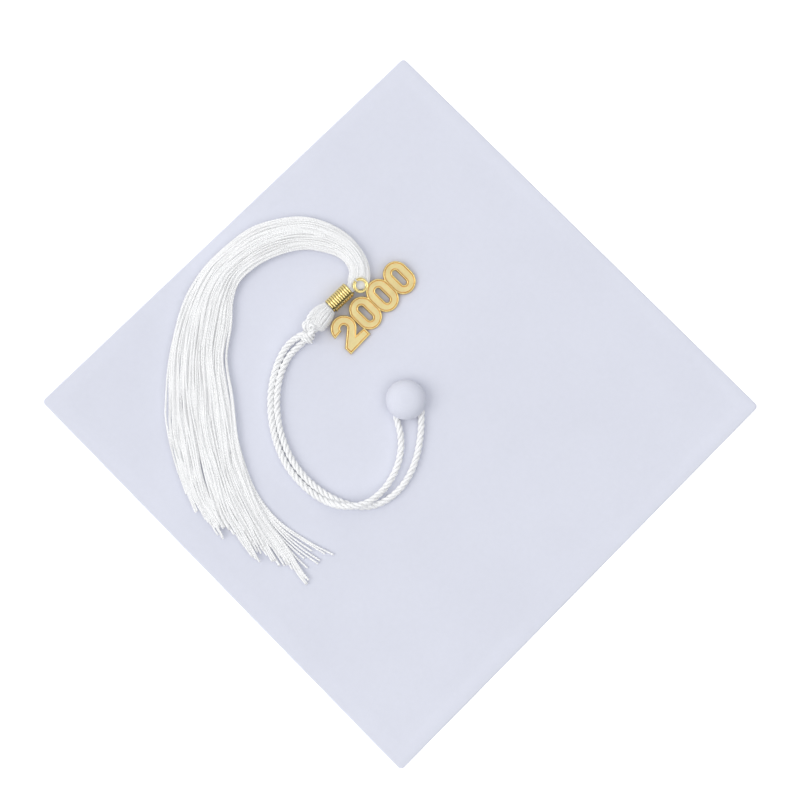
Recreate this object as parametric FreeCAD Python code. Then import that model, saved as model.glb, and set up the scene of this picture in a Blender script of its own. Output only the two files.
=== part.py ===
"""Graduation cap: a fabric-covered square board on a soft skull cap, with a covered button and a tassel.

Frame: millimetres, +Z up. The origin is at the bottom centre, in the plane of the skull cap's rim,
under the middle of the board. The wearer faces -Y, so a corner of the board points to -Y, and +X is
the wearer's left. Every piece is a separate solid, written to parts/NODE.step.
"""
import FreeCAD, Part
import math
import os

from FreeCAD import Matrix, Vector

# ---- driving dimensions, mm ------------------------------------------------------------------------

# Board
BOARD_SIDE = 241.3  # nine and a half inches over the covers
CORE_T = 2.4
COVER_T = 0.6
CORNER_R = 2.2  # plan radius of the covered corners
EDGE_ROUND = 0.5  # the cloth turns over the board's edge at this radius

# Skull cap: an elliptic cone, wide at the rim and narrower at the crown
SKULL_DEPTH = 88.4  # rim to the underside of the board
RIM_X, RIM_Y = 81.0, 99.0  # half axes at the rim, for a 57 cm head
CROWN_X, CROWN_Y = 66.0, 80.0  # half axes at the crown
PANEL_T = 0.9
STIFFENER_T = 0.7
SWEATBAND_T = 0.6
SWEATBAND_H = 24.0
LAYER_GAP = 0.1  # between layers of cloth
EAR_RISE = 28.0  # the rim arches this far up over the ears
FOOT_HALF = 3.0  # half width of the blunt tip of the front point
ARCH_FRONT_Y, ARCH_FRONT_X = -45.0, 67.0  # the front point's slopes end here
ARCH_JOIN = 24.5  # rise of the rim where the front point's slopes meet the arches over the ears
ARCH_MID_SHARE = 0.52  # share of the rise at the middle of each slope
FRONT_MID_X = 36.0  # middle of the front point's slope
EAR_TOP_Y, EAR_MID_Y = -2.0, 38.0  # highest place of the arch, and the middle of its back slope
HEEL_Y, HEEL_Z = 54.0, 4.5  # the back slope flattens here
ARCH_BACK_Y = 68.0  # the arch over the ears ends here, and the back rim lies flat
CROWN_TAPE_W, CROWN_TAPE_T = 10.0, 0.7

# Elastic let into the back of the rim
ELASTIC_H, ELASTIC_T = 10.0, 0.8
ELASTIC_LOW = 3.0
ELASTIC_HALF_X = 42.0
CASING_T, CASING_MARGIN = 0.5, 2.0

# Covered button on its shank, just off the board's middle
BUTTON_X, BUTTON_Y = 1.6, 1.4
BUTTON_R = 9.65
DOME_H = 5.0
DOME_STEPS = 12
RIM_H = 1.2
RIM_DROP, RIM_TUCK = 0.3, 0.4  # the cloth starts to turn under here, and is drawn in by this much
CLOTH_T = 0.5
SHELL_T = 0.6
BACK_R, BACK_T = 8.3, 0.8
CLOTH_FLANGE_R = 7.0
SHANK_R, SHANK_HEAD_R, SHANK_FOOT_R = 1.5, 3.0, 2.3
SHANK_HEAD_T, SHANK_FOOT_T = 1.0, 0.4
WASHER_R, WASHER_T = 6.0, 0.6
RECESS_R = 7.0
HOLE_PLAY = 0.1

# Tassel
LIFT = 0.3  # the tassel's pieces clear the cloth by this much, so that it can turn
CORD_D = 3.3
NECK_KNOT_R = 3.3
CORD_KNOT_R = 4.0
AXIS_H = 4.2  # height of the head's and band's axis over the tassel's lowest level
HEAD_W, HEAD_L = 10.4, 9.4
HEAD_LAP = 0.6  # the head's rounded end would reach this far into the band
KNOT_GAP = 0.4
BAND_R, BAND_BORE_R, BAND_L = 3.95, 3.0, 13.9
BAND_RIBS, RIB_DEPTH = 9, 0.45
RIB_TOP = (0.3, 0.7)  # the crest of each rib, as shares of the pitch
BUNDLE_R = 2.9
MOUTH_PLAY = 0.01  # the fringe starts this much wider than the bundle

# Charm: connected numerals with an eye above them, stamped from one piece
CHARM_T = 1.2
CHARM_RIM = 0.75
CHARM_RECESS = 0.35
CHARM_TILT = 12.0  # degrees: the eye lies on the strands, and the foot of the numerals on the cloth
CHARM_TURN = 47.0  # degrees in plan, along the band
NUMERAL_H = 17.4
ZERO_W, COUNTER_W, COUNTER_H = 12.7, 2.6, 8.6
TWO_W, TWO_STROKE = 13.6, 4.8
BOWL_R, BOWL_ASIDE = 6.4, 0.8  # round top of the two, and how far it stops short of the foot's end
TWO_FOOT_H = 4.6
NUMERAL_LAP = 0.9  # neighbours share this much of their rims
EYE_R, EYE_HOLE_R = 3.7, 2.2
EYE_U, EYE_V = 2.3, 19.6
EYE_GAP = 0.35  # the strands stand clear of the eye by this much, so that it can lift
TIE_R, TIE_WIRE_R = 1.6, 0.35

# ---- levels ----------------------------------------------------------------------------------------

CORE_Z = SKULL_DEPTH + COVER_T
BOARD_TOP = CORE_Z + CORE_T + COVER_T
SEAM_Z = (SKULL_DEPTH + BOARD_TOP) / 2  # the two covers meet half way up the edge
TASSEL_Z = BOARD_TOP + LIFT
CORD_Z = TASSEL_Z + CORD_D / 2
BUTTON_Z = TASSEL_Z + CORD_D + LIFT  # underside of the button

# Route of the tassel's cord: x, y and height over its resting level. It leaves the knot as the outer
# leg, goes over its own return leg, round the button's shank, and back to the knot as the inner leg.
CORD_ROUTE = [
    (-46.4, 32.8, 2.5), (-51.2, 30.7, 2.0), (-56.6, 25.2, 0.3), (-60.6, 15.6, 0.0),
    (-62.6, 4.6, 0.0), (-62.2, -7.6, 0.0), (-59.6, -19.2, 0.0), (-54.6, -30.2, 0.0),
    (-46.4, -39.8, 0.0), (-37.0, -46.6, 0.4), (-27.6, -49.6, 4.3), (-17.0, -48.4, 4.3),
    (-9.0, -41.8, 0.4), (-3.6, -33.6, 0.0), (-0.7, -24.6, 0.0), (-0.5, -14.8, 0.0),
    (-3.3, -6.0, 0.0), (-3.2, 3.9, 0.0), (2.7, 7.3, 0.0), (8.6, 3.9, 0.0),
    (9.1, -5.6, 0.0), (8.7, -15.8, 0.0), (6.7, -26.6, 0.0), (2.2, -37.0, 0.0),
    (-5.4, -45.2, 0.0), (-15.2, -49.5, 0.0), (-25.4, -48.0, 0.0), (-34.6, -43.4, 0.0),
    (-43.2, -36.8, 0.0), (-50.6, -28.2, 0.0), (-55.6, -17.6, 0.0), (-58.7, -6.2, 0.0),
    (-59.0, 5.6, 0.0), (-56.8, 16.0, 0.0), (-52.4, 24.2, 0.0), (-46.4, 29.7, 0.2),
]

NECK_KNOT = Vector(-45.2, 31.4, TASSEL_Z + NECK_KNOT_R)
CORD_KNOT = Vector(-43.4, 36.2, TASSEL_Z + CORD_KNOT_R)
HEAD_DIR = math.radians(45.0)
BAND_START = Vector(-35.0, 45.1, TASSEL_Z + AXIS_H)
CHARM_PLAY = 0.05  # under the foot of the numerals
CHARM_FOOT = Vector(-7.9, 41.4, TASSEL_Z + CHARM_PLAY)  # the foot of the numerals, mid-row

# Fringe: middle of the bundle, its width and its height, from past the band to the strands' ends
FRINGE = [
    (-21.7, 58.8, 8.0, 4.6), (-20.4, 63.0, 8.8, 5.2),
    (-23.0, 69.5, 10.0, 6.4), (-29.6, 76.0, 12.0, 6.4), (-41.7, 80.5, 15.0, 6.0),
    (-59.5, 79.3, 16.3, 5.8), (-77.0, 70.0, 18.0, 5.6), (-89.3, 55.3, 21.0, 5.2),
    (-95.2, 38.8, 26.0, 4.8), (-96.8, 12.0, 29.5, 4.6), (-93.6, -14.5, 32.0, 4.4),
    (-87.0, -36.5, 33.5, 4.2), (-77.5, -55.0, 35.0, 3.8), (-66.5, -70.0, 30.0, 2.6),
]


# ---- helpers ---------------------------------------------------------------------------------------

def save(name, shape):
    """Write one piece to its own STEP file."""
    solids = shape.Solids
    piece = solids[0] if len(solids) == 1 else Part.makeCompound(solids)
    piece.exportStep(f"parts/{name}.step")
    print(f"{name}: {len(solids)} solid, {piece.Volume:.0f} mm3, valid {piece.isValid()}")


def revolved(profile, centre):
    """A solid of revolution about the vertical line through centre, from (radius, z) corners."""
    points = [Vector(r, 0, z) for r, z in profile]
    face = Part.Face(Part.makePolygon(points + points[:1]))
    solid = face.revolve(Vector(0, 0, 0), Vector(0, 0, 1), 360)
    solid.translate(Vector(centre[0], centre[1], 0))
    return solid


def disc(radius, low, high, centre):
    return Part.makeCylinder(radius, high - low, Vector(centre[0], centre[1], low))


def square_prism(side, radius, low, high):
    """A square block with rounded corners, its corners on the X and Y axes."""
    half = side / 2
    block = Part.makeBox(side, side, high - low, Vector(-half, -half, low))
    upright = [e for e in block.Edges if abs(e.tangentAt(0).z) > 0.9]
    block = block.makeFillet(radius, upright)
    block.rotate(Vector(0, 0, 0), Vector(0, 0, 1), 45)
    return block


def ellipse_wire(half_x, half_y, z):
    centre = Vector(0, 0, z)
    curve = Part.Ellipse(centre + Vector(0, half_y, 0), centre + Vector(half_x, 0, 0), centre)
    return Part.Wire(curve.toShape())


def skull_cone(inset):
    """The skull cap's outer form, drawn in by inset all round."""
    rim = ellipse_wire(RIM_X - inset, RIM_Y - inset, 0)
    crown = ellipse_wire(CROWN_X - inset, CROWN_Y - inset, SKULL_DEPTH)
    return Part.makeLoft([rim, crown], True, True)


def skull_layer(outer, thickness):
    return skull_cone(outer).cut(skull_cone(outer + thickness))


def extruded(profile, direction):
    """Extrude a closed outline made of points and, between them, arcs given as (through, end)."""
    edges = []
    here = profile[0]
    for step in profile[1:]:
        if isinstance(step, tuple):
            edges.append(Part.Arc(here, step[0], step[1]).toShape())
            here = step[1]
        else:
            edges.append(Part.LineSegment(here, step).toShape())
            here = step
    edges.append(Part.LineSegment(here, profile[0]).toShape())
    return Part.Face(Part.Wire(edges)).extrude(direction)


def under_rim(rise):
    """Everything below the rim line raised by rise: a point in front, arches at the ears, a flat back."""
    deep, wide = -20.0, 130.0  # well past the cap
    join = ARCH_JOIN + rise
    slope_z = ARCH_MID_SHARE * ARCH_JOIN + rise
    front = [
        Vector(-wide, -wide, deep), Vector(wide, -wide, deep), Vector(wide, -wide, join),
        Vector(ARCH_FRONT_X, -wide, join),
        (Vector(FRONT_MID_X, -wide, slope_z), Vector(FOOT_HALF, -wide, rise)),
        Vector(-FOOT_HALF, -wide, rise),
        (Vector(-FRONT_MID_X, -wide, slope_z), Vector(-ARCH_FRONT_X, -wide, join)),
        Vector(-wide, -wide, join),
    ]
    back_slope = Vector(-wide, EAR_MID_Y, ARCH_MID_SHARE * EAR_RISE + rise)
    side = [
        Vector(-wide, ARCH_FRONT_Y, deep), Vector(-wide, ARCH_FRONT_Y, join),
        (Vector(-wide, EAR_TOP_Y, EAR_RISE + rise), back_slope),
        (Vector(-wide, HEEL_Y, HEEL_Z + rise), Vector(-wide, ARCH_BACK_Y, rise)),
        Vector(-wide, wide, rise), Vector(-wide, wide, deep),
    ]
    fore = extruded(front, Vector(0, wide + ARCH_FRONT_Y, 0))
    aft = extruded(side, Vector(2 * wide, 0, 0))
    return fore.fuse(aft)


def half_space(sign):
    """The block on one side of the cap's middle plane."""
    size = 200.0
    return Part.makeBox(size, 2 * size, 2 * size, Vector(0 if sign > 0 else -size, -size, -size))


def ellipsoid(centre, long_r, wide_r, high_r, turn):
    """A rounded soft body, turned in plan."""
    ball = Part.makeSphere(1.0)
    scale = Matrix()
    scale.scale(long_r, wide_r, high_r)
    ball = ball.transformGeometry(scale)
    ball.rotate(Vector(0, 0, 0), Vector(0, 0, 1), math.degrees(turn))
    ball.translate(centre)
    return ball


def head_axis():
    return Vector(math.cos(HEAD_DIR), math.sin(HEAD_DIR), 0)


# ---- board -----------------------------------------------------------------------------------------

def make_board():
    button = (BUTTON_X, BUTTON_Y)
    hole = disc(SHANK_R + HOLE_PLAY, SKULL_DEPTH, BOARD_TOP + 1, button)
    core = square_prism(BOARD_SIDE - 2 * COVER_T, CORNER_R - COVER_T, CORE_Z, CORE_Z + CORE_T)
    recess = disc(RECESS_R, CORE_Z - 1, CORE_Z + SHANK_FOOT_T + WASHER_T, button)
    save("board_core", core.cut(recess).cut(hole))

    inside = square_prism(BOARD_SIDE - 2 * COVER_T, CORNER_R - COVER_T, CORE_Z, CORE_Z + CORE_T)
    for name, low, high, flat_z in (
        ("top_cover", SEAM_Z, BOARD_TOP, BOARD_TOP),
        ("bottom_cover", SKULL_DEPTH, SEAM_Z, SKULL_DEPTH),
    ):
        tray = square_prism(BOARD_SIDE, CORNER_R, low, high)
        turned = [e for e in tray.Edges if abs(e.CenterOfMass.z - flat_z) < 1e-3]
        tray = tray.makeFillet(EDGE_ROUND, turned).cut(inside)
        if name == "top_cover":
            tray = tray.cut(hole)
        save(name, tray)


# ---- button ----------------------------------------------------------------------------------------

def dome_profile(inset, foot):
    """Half of a dome as an outline from its apex out to its rim and down to foot, drawn in by inset."""
    sphere_r = (BUTTON_R**2 + DOME_H**2) / (2 * DOME_H)
    centre_z = BUTTON_Z + RIM_H + DOME_H - sphere_r
    widest = math.asin(BUTTON_R / sphere_r)
    outline = []
    for i in range(DOME_STEPS + 1):
        angle = widest * i / DOME_STEPS
        height = centre_z + (sphere_r - inset) * math.cos(angle)
        outline.append(((sphere_r - inset) * math.sin(angle), height))
    edge_r = BUTTON_R - inset
    return outline + [(edge_r, BUTTON_Z + RIM_H - RIM_DROP), (edge_r - RIM_TUCK, foot)]


def make_button():
    centre = (BUTTON_X, BUTTON_Y)
    outside = revolved(dome_profile(0, BUTTON_Z) + [(0, BUTTON_Z)], centre)
    lining = revolved(dome_profile(CLOTH_T, BUTTON_Z + CLOTH_T) + [(0, BUTTON_Z + CLOTH_T)], centre)
    mouth = disc(CLOTH_FLANGE_R, BUTTON_Z - 1, BUTTON_Z + CLOTH_T, centre)
    save("button_cover", outside.cut(lining).cut(mouth))

    hollow_inset = CLOTH_T + SHELL_T
    hollow = revolved(dome_profile(hollow_inset, BUTTON_Z) + [(0, BUTTON_Z)], centre)
    save("button_shell", lining.cut(hollow).cut(disc(BACK_R, 0, BUTTON_Z + CLOTH_T + BACK_T, centre)))

    back_z = BUTTON_Z + CLOTH_T
    back = disc(BACK_R, back_z, back_z + BACK_T, centre)
    back = back.cut(disc(SHANK_R, back_z - 1, back_z + BACK_T + 1, centre))
    save("button_back", back)

    head_z = back_z + BACK_T
    washer_z = CORE_Z + SHANK_FOOT_T
    save("button_shank", revolved([
        (0, CORE_Z), (SHANK_FOOT_R, CORE_Z), (SHANK_FOOT_R, washer_z), (SHANK_R, washer_z),
        (SHANK_R, head_z), (SHANK_HEAD_R, head_z), (SHANK_HEAD_R, head_z + SHANK_HEAD_T),
        (0, head_z + SHANK_HEAD_T),
    ], centre))
    washer = disc(WASHER_R, washer_z, washer_z + WASHER_T, centre)
    save("shank_washer", washer.cut(disc(SHANK_R, washer_z - 1, washer_z + WASHER_T + 1, centre)))


# ---- skull cap -------------------------------------------------------------------------------------

def make_skull():
    below = under_rim(0)
    panel = skull_layer(0, PANEL_T).cut(below)
    depth = PANEL_T + LAYER_GAP
    stiffener = skull_layer(depth, STIFFENER_T).cut(under_rim(1.0))
    for side, sign in (("left", 1), ("right", -1)):
        save(f"skull_{side}", panel.common(half_space(sign)))
        save(f"stiffener_{side}", stiffener.common(half_space(sign)))

    depth += STIFFENER_T + LAYER_GAP
    band = skull_layer(depth, SWEATBAND_T).cut(under_rim(1.0))
    save("sweatband", band.common(under_rim(SWEATBAND_H)))

    depth += SWEATBAND_T + LAYER_GAP
    save("back_elastic", back_strip(depth, ELASTIC_T, ELASTIC_LOW, ELASTIC_H, ELASTIC_HALF_X))
    depth += ELASTIC_T + LAYER_GAP
    save("elastic_casing", back_strip(
        depth, CASING_T, ELASTIC_LOW - CASING_MARGIN, ELASTIC_H + 2 * CASING_MARGIN,
        ELASTIC_HALF_X + CASING_MARGIN,
    ))

    inner = PANEL_T + STIFFENER_T + 2 * LAYER_GAP
    tape_z = SKULL_DEPTH - CROWN_TAPE_T
    outer_x, outer_y = CROWN_X - inner, CROWN_Y - inner
    ring = Part.Face(ellipse_wire(outer_x, outer_y, tape_z))
    hole = Part.Face(ellipse_wire(outer_x - CROWN_TAPE_W, outer_y - CROWN_TAPE_W, tape_z))
    save("crown_tape", ring.cut(hole).extrude(Vector(0, 0, CROWN_TAPE_T)))


def back_strip(depth, thickness, low, height, half_width):
    """A strip of the skull cap's wall at the back, depth in from its outside."""
    window = Part.makeBox(2 * half_width, 2 * RIM_Y, height, Vector(-half_width, 0, low))
    return skull_layer(depth, thickness).common(window)


# ---- tassel ----------------------------------------------------------------------------------------

def cord_path(points, share=0.45):
    """Straight runs joined by tangent arcs; each arc takes the same share of its shorter run."""
    edges = []
    radii = []
    here = points[0]
    for before, corner, after in zip(points, points[1:], points[2:]):
        back, on = (before - corner), (after - corner)
        cut = share * min(back.Length, on.Length)
        back.normalize()
        on.normalize()
        half_turn = (math.pi - back.getAngle(on)) / 2
        radius = cut / math.tan(half_turn)
        start, end = corner + back * cut, corner + on * cut
        inward = (back + on).normalize()
        middle = corner + inward * (radius / math.cos(half_turn) - radius)
        edges.append(Part.LineSegment(here, start).toShape())
        edges.append(Part.Arc(start, middle, end).toShape())
        radii.append(round(radius, 1))
        here = end
    edges.append(Part.LineSegment(here, points[-1]).toShape())
    return Part.Wire(edges), radii


def make_cord():
    points = [Vector(x, y, CORD_Z + h) for x, y, h in CORD_ROUTE]
    path, radii = cord_path(points)
    ring = Part.Circle(points[0], points[1] - points[0], CORD_D / 2)
    tube = path.makePipeShell([Part.Wire(ring.toShape())], True, False)
    section = math.pi * CORD_D**2 / 4
    print("cord radii", radii)
    print(f"cord length {path.Length:.1f}, tube over section x length {tube.Volume / (section * path.Length):.4f}")
    save("tassel_cord", tube)


def make_head():
    save("neck_knot", Part.makeSphere(NECK_KNOT_R, NECK_KNOT))
    save("cord_knot", Part.makeSphere(CORD_KNOT_R, CORD_KNOT).cut(Part.makeSphere(NECK_KNOT_R, NECK_KNOT)))

    centre = BAND_START - head_axis() * (HEAD_L / 2 - HEAD_LAP)
    head = ellipsoid(centre, HEAD_L / 2, HEAD_W / 2, AXIS_H, HEAD_DIR)
    for knot, radius in ((CORD_KNOT, CORD_KNOT_R), (NECK_KNOT, NECK_KNOT_R)):
        head = head.cut(Part.makeSphere(radius + KNOT_GAP, knot))
    save("tassel_head", head.cut(Part.makeCylinder(2 * BAND_R, BAND_L, BAND_START, head_axis())))

    save("strand_bundle", Part.makeCylinder(BUNDLE_R, BAND_L, BAND_START, head_axis()))
    pitch = BAND_L / BAND_RIBS
    groove_r = BAND_R - RIB_DEPTH
    outline = [(BAND_BORE_R, 0)]
    for i in range(BAND_RIBS):
        outline.append((groove_r, i * pitch))
        outline += [(BAND_R, (i + share) * pitch) for share in RIB_TOP]
    outline += [(groove_r, BAND_L), (BAND_BORE_R, BAND_L)]
    band = revolved(outline, (0, 0))
    band.rotate(Vector(0, 0, 0), Vector(0, 1, 0), 90)
    band.rotate(Vector(0, 0, 0), Vector(0, 0, 1), math.degrees(HEAD_DIR))
    band.translate(BAND_START)
    save("tassel_band", band)


def oval_section(centre, width, height, heading):
    """An upright oval across the bundle's middle line."""
    oval = Part.Ellipse(Vector(0, 0, 0), width / 2, height / 2).toShape()
    oval.rotate(Vector(0, 0, 0), Vector(1, 0, 0), 90)
    oval.rotate(Vector(0, 0, 0), Vector(0, 0, 1), math.degrees(heading) + 90)
    oval.translate(centre)
    return Part.Wire(oval)


def make_fringe():
    """A flattened bundle of strands, lofted from the band's end, with a dent where the charm's eye lies."""
    mouth = BAND_START + head_axis() * BAND_L
    centres = [mouth] + [Vector(x, y, TASSEL_Z + height / 2) for x, y, _, height in FRINGE]
    wires = [oval_section(mouth, 2 * (BUNDLE_R + MOUTH_PLAY), 2 * BUNDLE_R, HEAD_DIR)]
    for i, (_, _, width, height) in enumerate(FRINGE, start=1):
        before, after = centres[i - 1], centres[min(i + 1, len(centres) - 1)]
        heading = math.atan2(after.y - before.y, after.x - before.x)
        wires.append(oval_section(centres[i], width, height, heading))
    fringe = Part.makeLoft(wires, True, False)

    reach = EYE_R + EYE_GAP
    dent = Part.makeBox(
        2 * reach, 2 * reach + EYE_R, 10.0,
        Vector(EYE_U - reach, EYE_V + EYE_R + EYE_GAP - 2 * reach - EYE_R, -EYE_GAP),
    )
    swing_r = math.hypot(EYE_R - EYE_HOLE_R, CHARM_T) / 2 + EYE_GAP
    swing_start = hinge_middle() - Vector(reach, 0, 0)
    dent = dent.fuse(Part.makeCylinder(swing_r, 2 * reach, swing_start, Vector(1, 0, 0)))
    dent.Placement = charm_frame()
    save("tassel_fringe", fringe.cut(dent))


# ---- charm -----------------------------------------------------------------------------------------

def stadium(width, height, centre_u, centre_v):
    """A face with straight sides and round ends, standing upright in the charm's plane."""
    r = width / 2
    left, right = centre_u - r, centre_u + r
    low, high = centre_v - height / 2 + r, centre_v + height / 2 - r
    edges = [
        Part.Arc(Vector(right, high), Vector(centre_u, high + r), Vector(left, high)).toShape(),
        Part.LineSegment(Vector(left, high), Vector(left, low)).toShape(),
        Part.Arc(Vector(left, low), Vector(centre_u, low - r), Vector(right, low)).toShape(),
        Part.LineSegment(Vector(right, low), Vector(right, high)).toShape(),
    ]
    return Part.Face(Part.Wire(edges))


def zero(centre_u, inset):
    """A plain nought, its stroke drawn in by inset on both sides."""
    middle = NUMERAL_H / 2
    outer = stadium(ZERO_W - 2 * inset, NUMERAL_H - 2 * inset, centre_u, middle)
    return outer.cut(stadium(COUNTER_W + 2 * inset, COUNTER_H + 2 * inset, centre_u, middle))


def flat_circle(centre_u, centre_v, radius):
    ring = Part.Circle(Vector(centre_u, centre_v), Vector(0, 0, 1), radius)
    return Part.Face(Part.Wire(ring.toShape()))


def flat_polygon(corners):
    points = [Vector(u, v) for u, v in corners]
    return Part.Face(Part.makePolygon(points + points[:1]))


def two(left, inset):
    """A plain two: a three-quarter ring, a diagonal and a foot, drawn in by inset on all sides."""
    cu, cv = left + TWO_W - BOWL_R - BOWL_ASIDE, NUMERAL_H - BOWL_R
    ring = flat_circle(cu, cv, BOWL_R - inset).cut(flat_circle(cu, cv, BOWL_R - TWO_STROKE + inset))
    past = 12.0  # well outside the ring
    mouth_v, end_u = cv - 0.2 + inset, cu + 3.4 - inset  # the ring is open below and to the left of these
    ring = ring.cut(flat_polygon([
        (cu - past, mouth_v), (cu, mouth_v), (end_u, mouth_v - 5.0), (end_u, cv - past),
        (cu - past, cv - past),
    ]))
    slant = 0.6 * inset
    right = cu + BOWL_R
    diagonal = flat_polygon([
        (left + inset + slant, inset), (left + 6.6 - inset - slant, inset),
        (right - 0.9 - inset, cv - 2.4), (right - 4.4 - slant, cv + 0.6 - inset),
        (cu + 1.4 + inset, cv - 1.6), (left + inset, 3.2 + slant),
    ])
    foot = flat_polygon([
        (left + inset, inset), (left + TWO_W - inset, inset),
        (left + TWO_W - inset, TWO_FOOT_H - inset), (left + inset, TWO_FOOT_H - inset),
    ])
    return ring.fuse([diagonal, foot]).removeSplitter()


def charm_frame():
    """The placement of the charm's own plane: u along the numerals, v up them, w out of the face."""
    turn = FreeCAD.Rotation(Vector(0, 0, 1), CHARM_TURN)
    tilt = FreeCAD.Rotation(Vector(1, 0, 0), CHARM_TILT)
    return FreeCAD.Placement(CHARM_FOOT, turn.multiply(tilt))


def hinge_middle():
    """Middle of the eye's ring on the side away from the numerals, in the charm's plane."""
    return Vector(EYE_U, EYE_V + (EYE_R + EYE_HOLE_R) / 2, CHARM_T / 2)


def make_charm():
    width = TWO_W + 3 * ZERO_W - 3 * NUMERAL_LAP
    left = -width / 2
    firsts = [left + TWO_W - NUMERAL_LAP + ZERO_W / 2 + i * (ZERO_W - NUMERAL_LAP) for i in range(3)]
    up = Vector(0, 0, CHARM_T)
    body = two(left, 0).extrude(up)
    body = body.fuse([zero(u, 0).extrude(up) for u in firsts])
    eye = Part.makeCylinder(EYE_R, CHARM_T, Vector(EYE_U, EYE_V, 0))
    body = body.fuse(eye).cut(Part.makeCylinder(EYE_HOLE_R, 3 * CHARM_T, Vector(EYE_U, EYE_V, -CHARM_T)))
    sunk = Vector(0, 0, CHARM_T - CHARM_RECESS)
    for face in [two(left, CHARM_RIM)] + [zero(u, CHARM_RIM) for u in firsts]:
        pocket = face.extrude(up)
        pocket.translate(sunk)
        body = body.cut(pocket)
    body = body.removeSplitter()
    body.Placement = charm_frame()
    save("charm", body)

    print("charm hinge", [round(c, 3) for c in charm_frame().multVec(hinge_middle())])
    tie = Part.makeTorus(TIE_R, TIE_WIRE_R, hinge_middle(), Vector(1, 0, 0))
    tie.Placement = charm_frame()
    save("charm_tie", tie)


os.makedirs("parts", exist_ok=True)
make_board()
make_button()
make_skull()
make_cord()
make_head()
make_fringe()
make_charm()
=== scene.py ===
# Looks of the graduation cap: cloth-covered board, covered button, twisted cord, knots, tassel with its
# gold coil and charm, and the soft skull cap under the board. Metres, +Z up, the wearer faces -Y.

import math

import bmesh
import bpy
import numpy as np
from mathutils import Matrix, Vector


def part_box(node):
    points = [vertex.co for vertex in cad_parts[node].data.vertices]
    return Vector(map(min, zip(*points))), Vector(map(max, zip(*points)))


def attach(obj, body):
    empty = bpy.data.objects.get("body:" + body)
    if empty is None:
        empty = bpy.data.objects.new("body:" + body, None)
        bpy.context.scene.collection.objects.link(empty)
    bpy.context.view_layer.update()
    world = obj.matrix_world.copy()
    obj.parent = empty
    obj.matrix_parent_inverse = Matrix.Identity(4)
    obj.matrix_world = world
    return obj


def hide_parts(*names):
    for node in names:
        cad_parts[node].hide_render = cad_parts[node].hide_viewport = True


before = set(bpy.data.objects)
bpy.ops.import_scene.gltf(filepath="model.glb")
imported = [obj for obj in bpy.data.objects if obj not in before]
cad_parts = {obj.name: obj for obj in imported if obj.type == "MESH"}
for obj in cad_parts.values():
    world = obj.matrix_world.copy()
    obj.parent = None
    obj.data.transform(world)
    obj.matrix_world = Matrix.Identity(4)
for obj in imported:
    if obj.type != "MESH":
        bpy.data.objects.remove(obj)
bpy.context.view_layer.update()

MM = 0.001
rng = np.random.default_rng(7)


# ---- levels and places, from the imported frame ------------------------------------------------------

BOARD_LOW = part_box("bottom_cover")[0].z
BOARD_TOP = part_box("top_cover")[1].z
BOARD_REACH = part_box("top_cover")[1].x  # from the middle to a corner
SEAM_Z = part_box("top_cover")[0].z
CORNER_R = 2.2 * MM
CORNER_CUT = CORNER_R * (math.sqrt(2) - 1)  # what the rounding takes off each corner
BOARD_HALF = (BOARD_REACH + CORNER_CUT) / math.sqrt(2)
COVER_T = 0.6 * MM

CORD_D = 3.3 * MM
TASSEL_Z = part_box("tassel_cord")[0].z
CORD_Z = TASSEL_Z + CORD_D / 2

BUTTON_LOW, BUTTON_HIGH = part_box("button_cover")
BUTTON = np.array([(BUTTON_LOW.x + BUTTON_HIGH.x) / 2, (BUTTON_LOW.y + BUTTON_HIGH.y) / 2, BUTTON_LOW.z])

AXIS = np.array([math.sqrt(0.5), math.sqrt(0.5), 0.0])  # the tassel's head and band point this way
ACROSS = np.array([math.sqrt(0.5), -math.sqrt(0.5), 0.0])
UP = np.array([0.0, 0.0, 1.0])
BAND_START = np.array([-0.0350, 0.0451, TASSEL_Z + 4.2 * MM])
BAND_L = 13.9 * MM
BAND_R = 3.95 * MM


# ---- camera, lights and floor ----------------------------------------------------------------------

LENS, SENSOR = 69.5, 36.0
CAMERA_AT = (-0.0205, -0.0901, 0.8200)
CAMERA_LEAN = (7.19, -1.55, 0.20)  # degrees from straight down


def add_camera():
    data = bpy.data.cameras.new("camera")
    data.lens = LENS
    data.sensor_width = SENSOR
    data.clip_start, data.clip_end = 0.01, 50.0
    camera = bpy.data.objects.new("camera", data)
    camera.location = CAMERA_AT
    camera.rotation_euler = [math.radians(a) for a in CAMERA_LEAN]
    bpy.context.scene.collection.objects.link(camera)
    bpy.context.scene.camera = camera


# Each sun's azimuth (counter-clockwise from +X), elevation, softness, strength and colour; in degrees
SUNS = {
    "key": (196.0, 48.0, 40.0, 0.86, (1.0, 0.985, 0.96)),
    "fill": (-50.0, 56.0, 50.0, 0.42, (0.95, 0.97, 1.0)),
}


def add_sun(name, azimuth, elevation, softness, strength, colour):
    data = bpy.data.lights.new(name, "SUN")
    data.energy = strength
    data.angle = math.radians(softness)
    data.color = colour
    light = bpy.data.objects.new(name, data)
    light.rotation_euler = (0.0, math.radians(90 - elevation), math.radians(azimuth))
    bpy.context.scene.collection.objects.link(light)


# The tent's brightness follows how far a direction leans this way, from dark to light
TENT_SLOPE = (-0.35, 0.30, 1.0)
TENT_DARK_AT, TENT_LIGHT_AT = 0.02, 0.40
TENT_DARK = (0.03, 0.03, 0.03)
TENT_LIGHT = (0.77, 0.78, 0.79)


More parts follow.
